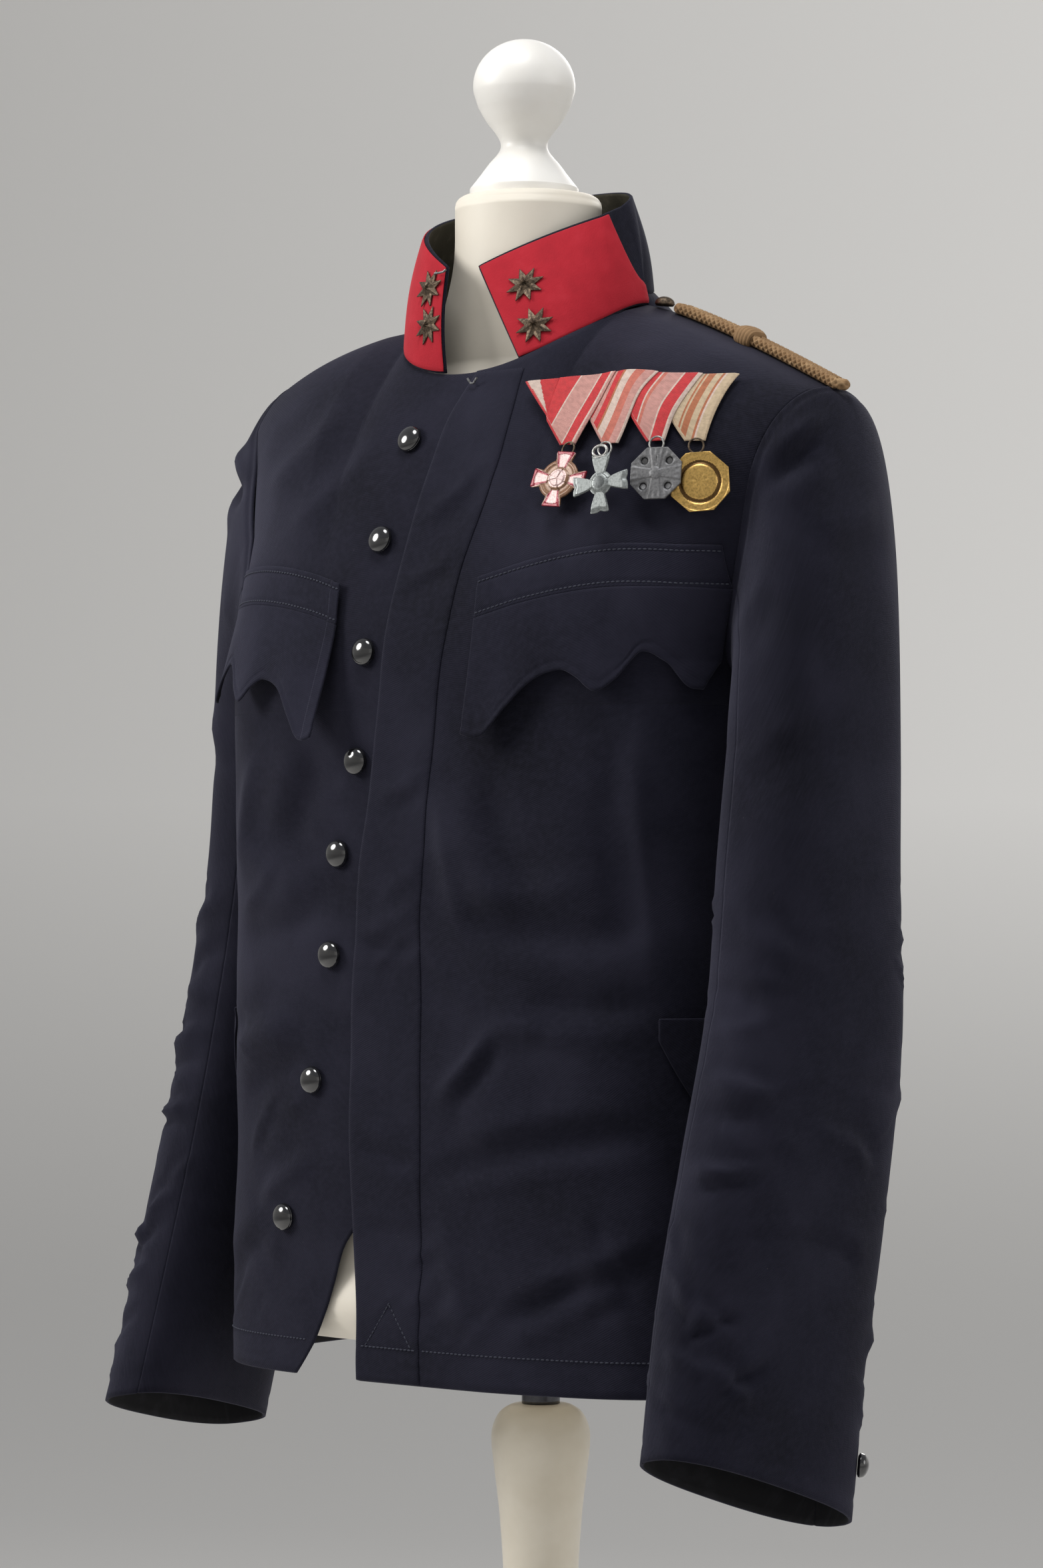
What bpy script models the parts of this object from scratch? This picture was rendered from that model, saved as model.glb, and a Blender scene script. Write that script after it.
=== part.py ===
"""Military dress tunic hanging on a limbless dress form, on a turned stand.

Metres, +Z up. The origin lies on the stand's axis at floor level, the tunic faces -Y and the
wearer's left side is +X. Every cloth piece is a closed sheet of its own, 0.3 mm or more from the next.
"""

import math

import bmesh
import bpy
import numpy as np
from mathutils import Vector

# ---- driving dimensions -------------------------------------------------------------------------
SEAM = 0.0003          # gap between pieces that meet
JOINT_GAP = 0.0014     # gap where a piece ends square against another
ARMHOLE_GAP = 0.0028
CLOTH = 0.0020         # wool with its lining
TRIM_CLOTH = 0.0011    # single wool layer of a flap, band or patch

HEM_Z = 0.800
ARMPIT_Z = 1.190
DOME_Z = 1.215         # above this the chest curves back to the shoulder line
NECK_X = {"left": 0.080, "right": 0.071}
NECK_POINT_Z = 1.430
# each shoulder: x and z of its point, how round its line is, and how far it turns forward or back
SHOULDER_X = {"left": 0.2205, "right": 0.2050}
SHOULDER_Z = {"left": 1.371, "right": 1.404}
SHOULDER_CURVE = {"left": 1.2, "right": 1.5}
SHOULDER_TURN = {"left": -0.10, "right": 0.20}
NECK_FRONT_Z = 1.3885
NECK_BACK_Z = 1.449
NECK_RISE = 0.044      # how far the shoulder line, carried on inside the neck, rises to its middle
SECTION_POWER = 3.5    # superellipse exponent of the bodice's cross-section
HOLLOW_POWER = 2.5     # the same for the hollow of the right chest, under the shoulder
FRONT_COLUMNS = 15
BACK_COLUMNS = 11

# bodice rings: height, half width on the left and on the right, depth in front of the axis and behind
BODICE = np.array([
    (0.800, 0.184, 0.184, 0.128, 0.120),
    (0.950, 0.182, 0.182, 0.127, 0.114),
    (1.080, 0.181, 0.181, 0.127, 0.110),
    (1.215, 0.186, 0.184, 0.127, 0.118),
    (1.300, 0.218, 0.196, 0.127, 0.122),
    (1.345, 0.238, 0.218, 0.127, 0.122),
    (1.372, 0.250, 0.236, 0.127, 0.122),
    (1.480, 0.250, 0.236, 0.127, 0.122),
])

# armhole edge: share of its height, polar angle of the section in front and behind
ARMHOLE = {
    "left": np.array([
        (0.000, 0.0, 0.0),
        (0.008, 2.5, 3.0),
        (0.043, 8.5, 11.0),
        (0.118, 15.5, 21.0),
        (0.225, 20.0, 28.0),
        (0.400, 24.0, 34.0),
        (0.575, 28.0, 38.0),
        (0.735, 32.5, 40.0),
        (0.870, 35.0, 39.5),
        (1.000, 36.6, 36.6),
    ]),
    "right": np.array([
        (0.000, 0.0, 0.0),
        (0.008, 2.5, 3.0),
        (0.043, 9.4, 11.0),
        (0.118, 19.0, 21.0),
        (0.225, 26.0, 28.0),
        (0.400, 33.0, 34.0),
        (0.575, 37.0, 38.0),
        (0.735, 39.5, 40.0),
        (0.870, 39.5, 40.0),
        (1.000, 38.6, 38.6),
    ]),
}

# left front's free edge and the inner edge of its fly band: height, edge, band
FLY = np.array([
    (0.800, -0.0339, 0.0139),
    (0.867, -0.0355, 0.0137),
    (0.935, -0.0393, 0.0132),
    (1.005, -0.0396, 0.0127),
    (1.053, -0.0363, 0.0129),
    (1.100, -0.0333, 0.0147),
    (1.168, -0.0211, 0.0227),
    (1.218, -0.0146, 0.0299),
    (1.270, -0.0095, 0.0377),
    (1.298, -0.0048, 0.0437),
    (1.330, -0.0004, 0.0507),
    (1.357, 0.0037, 0.0517),
    (1.390, 0.0147, 0.0492),
    (1.420, 0.0167, 0.0492),
])

# right front's free edge, under the left front down to the cut-away corner: height, x
UNDER_EDGE = np.array([
    (0.800, -0.0865),
    (0.806, -0.0818),
    (0.820, -0.0716),
    (0.836, -0.0637),
    (0.856, -0.0558),
    (0.8775, -0.0466),
    (0.900, -0.0280),
    (0.930, -0.0130),
    (1.000, -0.0130),
    (1.168, 0.0060),
    (1.270, 0.0170),
    (1.357, 0.0300),
    (1.420, 0.0300),
])
LEFT_LIFT = 0.0030     # how far the left front lies above the right one

# chest pocket, left side: x, band top, flap top, flap bottom
POCKET = np.array([
    (0.0525, 1.2640, 1.2400, 1.1745),
    (0.0655, 1.2672, 1.2432, 1.1735),
    (0.0780, 1.2705, 1.2465, 1.1880),
    (0.0920, 1.2735, 1.2495, 1.2030),
    (0.1060, 1.2760, 1.2520, 1.2100),
    (0.1120, 1.2768, 1.2528, 1.2102),
    (0.1200, 1.2778, 1.2538, 1.2060),
    (0.1312, 1.2788, 1.2548, 1.1980),
    (0.1400, 1.2793, 1.2553, 1.2040),
    (0.1545, 1.2793, 1.2553, 1.2205),
    (0.1640, 1.2790, 1.2550, 1.2130),
    (0.1705, 1.2786, 1.2546, 1.2000),
    (0.1745, 1.2784, 1.2544, 1.1990),
])
POCKET_SLANT = {"left": 0.0175, "right": 0.0}   # how much wider the flap is at its top, on the outer side
POCKET_WIDTH = {"left": 1.0, "right": 0.93}     # share of the table's width; the right one ends at the armhole
FLAP_STAND_OFF = {"left": (0.015, 0.008), "right": (0.027, 0.017)}   # at the inner tip, at the outer
HIP_WELT = (0.159, 0.1775, 1.0130)    # hip pocket: inner x, outer x, top z
HIP_FLAP_DROP = 0.052
FLAP_COLUMNS = 21
BAND_LIFT = 0.0010     # underside of a band or a lying flap above the front

# front buttons: x, z
FRONT_BUTTONS = [
    (-0.0219, 1.3489), (-0.0277, 1.2893), (-0.0301, 1.2236), (-0.0364, 1.1602),
    (-0.0521, 1.1062), (-0.0562, 1.0470), (-0.0710, 0.9731), (-0.0947, 0.8912),
]
BUTTON_R = 0.0083
CUFF_BUTTON_R = 0.0070
BUTTON_RIM = 0.0020    # height of the widest ring
BUTTON_DOME = 0.0043   # rise of the dome above it
BUTTON_SEGMENTS = 12
BUTTON_LIFT = 0.0007   # underside of a button above the cloth

# sleeves: z, |x|, y of the axis, half breadth, half thickness, turn inward, pitch and roll (degrees)
SLEEVE = {
    "left": np.array([
        (1.160, 0.2265, -0.0400, 0.0610, 0.0355, 0.0, 6.0, 0.0),
        (1.100, 0.2320, -0.0529, 0.0625, 0.0365, -2.0, 8.0, 2.0),
        (1.013, 0.2380, -0.0658, 0.0660, 0.0365, -6.0, 11.0, 4.0),
        (0.927, 0.2430, -0.0927, 0.0710, 0.0345, -9.0, 15.0, 6.0),
        (0.844, 0.2470, -0.1197, 0.0735, 0.0320, -12.0, 18.0, 9.0),
        (0.760, 0.2500, -0.1388, 0.0745, 0.0310, -12.0, 19.0, 11.0),
    ]),
    "right": np.array([
        (1.160, 0.2205, 0.0260, 0.0600, 0.0335, 0.0, 3.0, 0.0),
        (1.100, 0.2230, 0.0230, 0.0620, 0.0340, -2.0, 5.0, -2.0),
        (1.013, 0.2260, 0.0080, 0.0660, 0.0345, -5.0, 8.0, -4.0),
        (0.927, 0.2300, -0.0110, 0.0700, 0.0340, -8.0, 11.0, -6.0),
        (0.844, 0.2340, -0.0330, 0.0725, 0.0320, -10.0, 13.0, -8.0),
        (0.760, 0.2385, -0.0545, 0.0735, 0.0310, -10.0, 13.0, -10.0),
    ]),
}
SLEEVE_POWER = 2.5
SLEEVE_POINTS = 28
HEAD_RINGS = 5
HEAD_FULLNESS = {"left": 0.014, "right": 0.022}
ARM_RINGS = 8
UPPER_SLEEVE_SHARE = (-9, 8)   # ring points, from the outermost one, between the two sleeve seams

# collar: where each half's front end stands at the neckline (degrees round the neck), and top loop
COLLAR_END = {"left": 31.0, "right": 9.5}
COLLAR_LEAN = {"left": 0.022, "right": -0.005}   # how far each end leans over the middle at the top
COLLAR_TOP_X = 0.0640
COLLAR_TOP_FRONT = 0.0670
COLLAR_TOP_BACK = 0.0440
COLLAR_TOP_Z = (1.4530, 1.5060)   # at the front end, at the centre back
PATCH_END = (93.0, 84.0)          # degrees round the neck where the coloured patch ends, low and high
PATCH_GAP = 0.0009
STAR_R = 0.0102
# stars on each half: degrees behind its front end, share of its height
STARS = {"left": ((12.0, 0.67), (11.0, 0.26)), "right": ((10.5, 0.72), (9.0, 0.40))}

# shoulder cord: inner and outer end, cord radius, spacing of its two strands
CORD = (0.108, 0.2240, 0.0032, 0.0070)
CORD_LIFT = 0.0022     # underside of the cord above the shoulder line
SLIDE_X = 0.158

# ribbons: middle of the top, width there, middle of the tip, then their medal's x, z, radius and lift
RIBBONS = [
    (0.0895, 0.0600, 0.1005, 0.1025, 1.3155, 0.0176, 0.0080),
    (0.1165, 0.0560, 0.1290, 0.1350, 1.3100, 0.0180, 0.0130),
    (0.1420, 0.0520, 0.1575, 0.1628, 1.3170, 0.0160, 0.0085),
    (0.1625, 0.0460, 0.1790, 0.1845, 1.3130, 0.0178, 0.0045),
]
RIBBON_TOP_Z = 1.3745
RIBBON_TIP_Z = 1.3365
RIBBON_TIP_WIDTH = 0.0130

# dress form and stand
FORM_GAP = 0.0070
FORM_BOTTOM = 0.8200
FORM_NECK_R = 0.0440
FORM_NECK_Y = -0.0120
FORM_NECK_TOP = 1.5050
ROD_R = 0.0115
COLUMN_TOP = 0.7760
BASE_R = 0.2000


# ---- plain helpers ------------------------------------------------------------------------------
def table(rows, z, column):
    return np.interp(z, rows[:, 0], rows[:, column])


def smooth(t):
    t = np.clip(t, 0.0, 1.0)
    return t * t * (3.0 - 2.0 * t)


def unit(v):
    v = np.asarray(v, float)
    return v / np.maximum(np.linalg.norm(v, axis=-1, keepdims=True), 1e-12)


def material(name, colour, roughness, metallic=0.0):
    made = bpy.data.materials.new(name)
    made.use_nodes = True
    shader = made.node_tree.nodes["Principled BSDF"]
    shader.inputs["Base Color"].default_value = (*colour, 1.0)
    shader.inputs["Roughness"].default_value = roughness
    shader.inputs["Metallic"].default_value = metallic
    return made


def add_mesh(name, points, faces, look, smooth_angle=35.0):
    """A closed mesh object; its faces are turned to point out."""
    mesh = bpy.data.meshes.new(name)
    mesh.from_pydata([tuple(p) for p in points], [], faces)
    shape = bmesh.new()
    shape.from_mesh(mesh)
    bmesh.ops.recalc_face_normals(shape, faces=shape.faces)
    if shape.calc_volume(signed=True) < 0:
        bmesh.ops.reverse_faces(shape, faces=shape.faces)
    shape.to_mesh(mesh)
    shape.free()
    mesh.materials.append(look)
    mesh.shade_smooth()
    mesh.set_sharp_from_angle(angle=math.radians(smooth_angle))
    made = bpy.data.objects.new(name, mesh)
    bpy.context.scene.collection.objects.link(made)
    return made


def grid_quads(rows, columns, first=0, wrap=False):
    quads = []
    last = columns if wrap else columns - 1
    for r in range(rows - 1):
        for c in range(last):
            d = (c + 1) % columns
            a = first + r * columns
            b = a + columns
            quads.append((a + c, a + d, b + d, b + c))
    return quads


def add_shell(name, outer, inner, look):
    """A closed sheet between two grids of points, rows by columns."""
    rows, columns = outer.shape[:2]
    half = rows * columns
    faces = grid_quads(rows, columns)
    faces += [tuple(reversed(q)) for q in grid_quads(rows, columns, half)]
    rim = [c for c in range(columns)]
    rim += [r * columns + columns - 1 for r in range(1, rows)]
    rim += [(rows - 1) * columns + c for c in range(columns - 2, -1, -1)]
    rim += [r * columns for r in range(rows - 2, 0, -1)]
    for a, b in zip(rim, rim[1:] + rim[:1]):
        faces.append((b, a, a + half, b + half))
    points = np.concatenate([outer.reshape(-1, 3), inner.reshape(-1, 3)])
    return add_mesh(name, points, faces, look)


def add_lathe(name, profile, centre, look, segments=32, up=(0, 0, 1)):
    """A solid turned from (radius, height) pairs, both ends on the axis, standing along up."""
    up = Vector(up).normalized()
    side = up.orthogonal().normalized()
    other = up.cross(side)
    side, other, up = (np.array(v) for v in (side, other, up))
    centre = np.asarray(centre, float)
    points = [centre + up * profile[0][1]]
    for radius, height in profile[1:-1]:
        for k in range(segments):
            a = 2 * math.pi * k / segments
            points.append(centre + up * height + radius * (math.cos(a) * side + math.sin(a) * other))
    points.append(centre + up * profile[-1][1])
    rings = len(profile) - 2
    faces = grid_quads(rings, segments, 1, wrap=True)
    for k in range(segments):
        faces.append((0, 1 + (k + 1) % segments, 1 + k))
        last = 1 + (rings - 1) * segments
        faces.append((len(points) - 1, last + k, last + (k + 1) % segments))
    return add_mesh(name, points, faces, look)


def add_tube(name, path, radius, look, sides=10, closed=False):
    """A round cord along a path of points."""
    path = np.asarray(path, float)
    if closed:
        along = np.roll(path, -1, axis=0) - np.roll(path, 1, axis=0)
    else:
        along = np.gradient(path, axis=0)
    along = unit(along)
    side = unit(np.cross(along, (0.0, 0.0, 1.0)))
    other = np.cross(side, along)
    angles = 2 * np.pi * np.arange(sides) / sides
    rings = (path[:, None] + radius * (np.cos(angles)[None, :, None] * side[:, None]
                                       + np.sin(angles)[None, :, None] * other[:, None]))
    count = len(path)
    faces = grid_quads(count, sides, wrap=True)
    if closed:
        last = (count - 1) * sides
        for k in range(sides):
            d = (k + 1) % sides
            faces.append((last + k, last + d, d, k))
    else:
        faces.append(tuple(range(sides)))
        faces.append(tuple(reversed(range((count - 1) * sides, count * sides))))
    return add_mesh(name, rings.reshape(-1, 3), faces, look)


def add_plate(name, centre, frame, radii, thickness, crown, look, hub=0.55):
    """A plate of polar outline, radii at even angles from the top, its face raised towards the middle."""
    across, up, out = (np.asarray(v, float) for v in frame)
    centre = np.asarray(centre, float)
    count = len(radii)
    angles = 2 * np.pi * np.arange(count) / count
    flat = np.sin(angles)[:, None] * across + np.cos(angles)[:, None] * up
    rim = np.asarray(radii)[:, None] * flat
    middle = hub * np.minimum(np.asarray(radii), np.mean(radii))[:, None] * flat
    points = [centre]
    points += list(centre + rim)
    points += list(centre + rim + thickness * out)
    points += list(centre + middle + (thickness + crown * 0.7) * out)
    points.append(centre + (thickness + crown) * out)
    faces = []
    for k in range(count):
        d = (k + 1) % count
        faces.append((0, 1 + k, 1 + d))
        for ring in range(2):
            a = 1 + ring * count
            faces.append((a + k, a + count + k, a + count + d, a + d))
        last = 1 + 2 * count
        faces.append((len(points) - 1, last + d, last + k))
    return add_mesh(name, points, faces, look, 20.0)


# ---- the bodice's surface -----------------------------------------------------------------------
def section_of(x, z, back):
    """Half width at x's side and signed depth of the section at height z."""
    depth = table(BODICE, z, 4) if back else -table(BODICE, z, 3)
    return np.where(x >= 0, table(BODICE, z, 1), table(BODICE, z, 2)), depth


def shoulder_line(x, side):
    neck = NECK_X[side]
    run = np.clip((np.abs(x) - neck) / (SHOULDER_X[side] - neck), 0.0, None)
    drop = (NECK_POINT_Z - SHOULDER_Z[side]) * run ** SHOULDER_CURVE[side]
    return NECK_POINT_Z - drop + NECK_RISE * np.clip(1.0 - (x / neck) ** 2, 0.0, None)


def shoulder_turn(x, z):
    """How far the shoulders stand forward or back of the side seams."""
    turn = np.where(x >= 0, SHOULDER_TURN["left"], SHOULDER_TURN["right"])
    return turn * np.clip(np.abs(x) - 0.10, 0.0, None) * smooth((z - 1.27) / 0.10)


def dome_power(x, back):
    low = 2.2 if back else 1.55
    return low + (2.1 - low) * smooth(np.abs(x) / 0.18)


def bodice_y(x, z, back=False):
    """Depth of the bodice's outer surface at (x, z); above DOME_Z it rounds back to the shoulder line."""
    x = np.asarray(x, float)
    z = np.asarray(z, float)
    half, depth = section_of(x, z, back)
    share = np.clip(np.abs(x) / half, 0.0, 1.0)
    section = SECTION_POWER
    if not back:
        section = SECTION_POWER + (HOLLOW_POWER - SECTION_POWER) * smooth((z - 1.20) / 0.09) * (x < 0)
    flat = depth * (1.0 - share ** section) ** (1.0 / section)
    line = np.where(x >= 0, shoulder_line(x, "left"), shoulder_line(x, "right"))
    rise = np.clip((z - DOME_Z) / (line - DOME_Z), 0.0, 1.0)
    power = dome_power(x, back)
    return flat * (1.0 - rise ** power) ** (1.0 / power) + shoulder_turn(x, z)


def bodice_frame(x, z):
    """Point of the front, and its across, up and outward directions."""
    step = 0.0015
    here = np.array([x, float(bodice_y(x, z)), z])
    right = np.array([x + step, float(bodice_y(x + step, z)), z])
    left = np.array([x - step, float(bodice_y(x - step, z)), z])
    above = np.array([x, float(bodice_y(x, z + step)), z + step])
    below = np.array([x, float(bodice_y(x, z - step)), z - step])
    across = unit(right - left)
    out = unit(np.cross(across, above - below))
    return here, across, np.cross(out, across), out


ANGLES = np.radians(np.linspace(0.0, 90.0, 721))
HALF_RING = np.stack([0.182 * np.cos(ANGLES) ** (2 / SECTION_POWER),
                      0.127 * np.sin(ANGLES) ** (2 / SECTION_POWER)], axis=1)
STEPS = np.linalg.norm(np.diff(HALF_RING, axis=0), axis=1)
# distance along a half section from the middle of the front to its side, for each polar angle
REACH = np.concatenate([[0.0], np.cumsum(STEPS[::-1])])[::-1]
SIDE_REACH = REACH[0]


def reach_of_angle(degrees):
    return np.interp(np.radians(degrees), ANGLES, REACH)


def angle_of_reach(reach):
    return np.interp(-np.abs(reach), -REACH, ANGLES)


def reach_of_x(x, z):
    half, _ = section_of(x, z, False)
    share = np.clip(np.abs(x) / half, 0.0, 1.0)
    angle = np.arccos(share ** (SECTION_POWER / 2))
    return np.sign(x) * np.interp(angle, ANGLES, REACH)


def x_of_reach(reach, z):
    half, _ = section_of(reach, z, False)
    return np.sign(reach) * half * np.cos(angle_of_reach(reach)) ** (2 / SECTION_POWER)


def neckline(x, side, back):
    """Height of the neckline over x, up to the neck point."""
    run = np.sqrt(np.clip(1.0 - (np.abs(x) / NECK_X[side]) ** 2, 0.0, 1.0))
    low = NECK_BACK_Z if back else NECK_FRONT_Z
    return NECK_POINT_Z + (low - NECK_POINT_Z) * run


def top_edge(x, side, back):
    return np.where(np.abs(x) < NECK_X[side], neckline(x, side, back), shoulder_line(x, side))


def panel_rows():
    low = np.linspace(HEM_Z, ARMPIT_Z, 10)[:-1]
    return low, np.array([0.0, 0.012, 0.05, 0.13, 0.25, 0.41, 0.56, 0.71, 0.86, 1.0])


def panel_grid(side, back, shares, inner_edge):
    """Points of half a bodice panel, rows from hem to top; shares run from the inner edge to the side."""
    sign = 1.0 if side == "left" else -1.0
    low_rows, high_rows = panel_rows()
    grid = []
    for z in low_rows:
        start = reach_of_x(inner_edge(z), z)
        reach = start + (sign * SIDE_REACH - start) * shares
        x = x_of_reach(reach, z)
        grid.append((x, np.full_like(x, z)))
    shoulder = SHOULDER_Z[side]
    for t in high_rows:
        armhole_z = ARMPIT_Z + t * (shoulder - ARMPIT_Z)
        end = sign * reach_of_angle(table(ARMHOLE[side], t, 2 if back else 1))
        z = np.full_like(shares, armhole_z)
        for _ in range(6):
            start = reach_of_x(inner_edge(z[0]), z[0])
            x = x_of_reach(start + (end - start) * shares, z)
            z = ARMPIT_Z + t * (top_edge(x, side, back) - ARMPIT_Z)
        grid.append((x, z))
    x, z = (np.array(part) for part in zip(*grid))
    return np.stack([x, bodice_y(x, z, back), z], axis=-1)


def shares_with_neck(side, back, count, inner_edge):
    """Even shares of a panel's width, with one moved so that a column ends at the neck point."""
    shares = np.linspace(0.0, 1.0, count)
    fine = np.linspace(0.0, 1.0, 400)
    sign = 1.0 if side == "left" else -1.0
    top = sign * panel_grid(side, back, fine, inner_edge)[-1, :, 0]
    neck = fine[np.nonzero(top >= NECK_X[side])[0][0]]
    nearest = 1 + np.argmin(np.abs(shares[1:-1] - neck))
    shares[nearest] = neck
    return shares


def outward_normals(grid):
    """Unit normals of a grid of the bodice's points, turned away from its centre line."""
    along = np.gradient(grid, axis=1)
    up = np.gradient(grid, axis=0)
    normal = unit(np.cross(along, up))
    away = grid.copy()
    away[..., 2] = np.maximum(grid[..., 2] - DOME_Z, 0.0)
    return -normal if np.sum(normal * away) < 0 else normal


def left_lift(x):
    return LEFT_LIFT * smooth((0.115 - x) / 0.06)


def free_edge(side):
    """The front's free edge, as a function of height."""
    rows = FLY if side == "left" else UNDER_EDGE
    return lambda z: table(rows, z, 1)


def centre_back(z):
    return 0.0 * z


def build_front(side, look):
    sign = 1.0 if side == "left" else -1.0
    edge = free_edge(side)
    shares = shares_with_neck(side, False, FRONT_COLUMNS, edge)
    outer = panel_grid(side, False, shares, edge)
    normal = outward_normals(outer)
    if side == "left":
        outer[..., 1] -= left_lift(outer[..., 0])
    inner = outer - CLOTH * normal
    for points in (outer, inner):
        seam = shoulder_turn(points[..., 0], points[..., 2])
        points[..., 1] = np.minimum(points[..., 1], seam - SEAM / 2)
    inner[..., 0] = sign * np.minimum(sign * inner[..., 0], sign * outer[:, -1:, 0])
    return add_shell("front_" + side, outer, inner, look)


def build_back(look):
    halves = {}
    for side in ("left", "right"):
        shares = shares_with_neck(side, True, BACK_COLUMNS, centre_back)
        halves[side] = panel_grid(side, True, shares, centre_back)
    outer = np.concatenate([halves["right"][:, :0:-1], halves["left"]], axis=1)
    normal = outward_normals(outer)
    inner = outer - CLOTH * normal
    for points in (outer, inner):
        seam = shoulder_turn(points[..., 0], points[..., 2])
        points[..., 1] = np.maximum(points[..., 1], seam + SEAM / 2)
    return add_shell("back", outer, inner, look)


# ---- sleeves ------------------------------------------------------------------------------------
def armhole_loop(side, count):
    """Points round the armhole, from the shoulder point down the front and up the back."""
    sign = 1.0 if side == "left" else -1.0
    t = np.linspace(1.0, 0.0, 60)
    halves = []
    for back in (False, True):
        z = ARMPIT_Z + t * (SHOULDER_Z[side] - ARMPIT_Z)
        end = sign * reach_of_angle(table(ARMHOLE[side], t, 2 if back else 1))
        x = x_of_reach(end, z)
        halves.append(np.stack([x, bodice_y(x, z, back), z], axis=1))
    loop = np.concatenate([halves[0], halves[1][::-1][1:]])
    length = np.concatenate([[0.0], np.cumsum(np.linalg.norm(np.diff(loop, axis=0), axis=1))])
    armpit = length[59]
    half = count // 2
    wanted = np.concatenate([np.linspace(0.0, armpit, half + 1)[:-1],
                             np.linspace(armpit, length[-1], half + 1)[:-1]])
    return np.stack([np.interp(wanted, length, loop[:, k]) for k in range(3)], axis=1)


def sleeve_ring(side, row, count):
    """One ring of the arm, starting outermost and running by the front."""
    sign = 1.0 if side == "left" else -1.0
    z, x, y, half_breadth, half_thickness, turn, pitch, roll = row
    turn, pitch, roll = (math.radians(v) for v in (turn, pitch, roll))
    front = np.array([math.sin(turn) * sign, -math.cos(turn), 0.0])
    out = np.array([math.cos(turn) * sign, math.sin(turn), 0.0])
    front = front * math.cos(pitch) + np.array([0.0, 0.0, math.sin(pitch)])
    out = out * math.cos(roll) + np.array([0.0, 0.0, math.sin(roll)])
    a = 2 * np.pi * np.arange(count) / count
    ca, sa = np.cos(a), np.sin(a)
    c = np.sign(ca) * np.abs(ca) ** (2 / SLEEVE_POWER)
    s = np.sign(sa) * np.abs(sa) ** (2 / SLEEVE_POWER)
    centre = np.array([sign * x, y, z])
    return centre + half_thickness * c[:, None] * out + half_breadth * s[:, None] * front


def sleeve_rings(side):
    """The whole sleeve's outer surface: the head, fanned out of the armhole, then the arm."""
    sign = 1.0 if side == "left" else -1.0
    rows = SLEEVE[side]
    start = armhole_loop(side, SLEEVE_POINTS)
    first = sleeve_ring(side, rows[0], SLEEVE_POINTS)
    a = 2 * np.pi * np.arange(SLEEVE_POINTS) / SLEEVE_POINTS
    top = (0.5 + 0.5 * np.cos(a))[:, None]
    away = unit(np.concatenate([np.full((SLEEVE_POINTS, 1), sign), np.zeros((SLEEVE_POINTS, 1)),
                                -0.22 * top], axis=1))
    start = start + ARMHOLE_GAP * np.array([sign, 0.0, 0.0])
    drop = (start[:, 2:] - first[:, 2:])
    one = start + away * (0.006 + HEAD_FULLNESS[side] * top)
    two = first + np.array([0.0, 0.0, 1.0]) * (0.40 * drop + 0.004)
    head = []
    for t in np.linspace(0.0, 1.0, HEAD_RINGS + 1)[:-1]:
        head.append((1 - t) ** 3 * start + 3 * t * (1 - t) ** 2 * one + 3 * t * t * (1 - t) * two
                    + t ** 3 * first)
    heights = np.linspace(rows[0, 0], rows[-1, 0], ARM_RINGS)
    arm = []
    for z in heights:
        row = [z] + [np.interp(-z, -rows[:, 0], rows[:, k]) for k in range(1, 8)]
        arm.append(sleeve_ring(side, row, SLEEVE_POINTS))
    return np.array(head + arm)


def build_sleeve(side, look):
    rings = sleeve_rings(side)
    along = np.gradient(rings, axis=0)
    around = np.roll(rings, -1, axis=1) - np.roll(rings, 1, axis=1)
    normal = unit(np.cross(along, around))
    middle = rings.mean(axis=1, keepdims=True)
    if np.sum(normal * (rings - middle)) < 0:
        normal = -normal
    normal[0, :, 0] = 0.0
    normal = unit(normal)
    inner = rings - CLOTH * normal
    tangent = unit(around)
    low, high = UPPER_SLEEVE_SHARE
    spans = {
        "upper": np.arange(low, high + 1) % SLEEVE_POINTS,
        "under": np.arange(high, low + SLEEVE_POINTS + 1) % SLEEVE_POINTS,
    }
    for part, columns in spans.items():
        a = rings[:, columns].copy()
        b = inner[:, columns].copy()
        for points in (a, b):
            points[:, 0] += SEAM * tangent[:, columns[0]]
            points[:, -1] -= SEAM * tangent[:, columns[-1]]
        add_shell(f"sleeve_{side}_{part}", a, b, look)


# ---- collar -------------------------------------------------------------------------------------
def collar_point(side, degrees, height, lift=0.0):
    """Outer surface of a collar half; degrees run round the neck from the front to the back."""
    sign = 1.0 if side == "left" else -1.0
    a = np.radians(np.asarray(degrees, float))
    height = np.asarray(height, float)
    x = NECK_X[side] * np.sin(a)
    back = np.cos(a) < 0
    base_z = np.where(back, neckline(x, side, True), neckline(x, side, False)) + JOINT_GAP
    base_y = np.where(back, bodice_y(sign * x, base_z - JOINT_GAP, True),
                      bodice_y(sign * x, base_z - JOINT_GAP, False))
    end = math.radians(COLLAR_END[side])
    lean = COLLAR_LEAN[side] * np.clip((math.radians(75.0) - a) / (math.radians(75.0) - end), 0.0, 1.0)
    top_x = COLLAR_TOP_X * np.sin(a) - lean
    depth = np.where(back, COLLAR_TOP_BACK, COLLAR_TOP_FRONT)
    top_y = -depth * np.cos(a) - 0.004
    rise = 1.0 - (1.0 - np.clip((a - end) / (math.pi - end), 0.0, 1.0)) ** 2.2
    top_z = COLLAR_TOP_Z[0] + (COLLAR_TOP_Z[1] - COLLAR_TOP_Z[0]) * rise
    bulge = 0.0025 * np.sin(np.pi * height)
    x = (x + (top_x - x) * height) + (bulge + lift) * np.sin(a)
    y = (base_y + (top_y - base_y) * height) - (bulge + lift) * np.cos(a)
    z = base_z + (top_z - base_z) * height
    return np.stack([sign * x, y, z], axis=-1)


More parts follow.
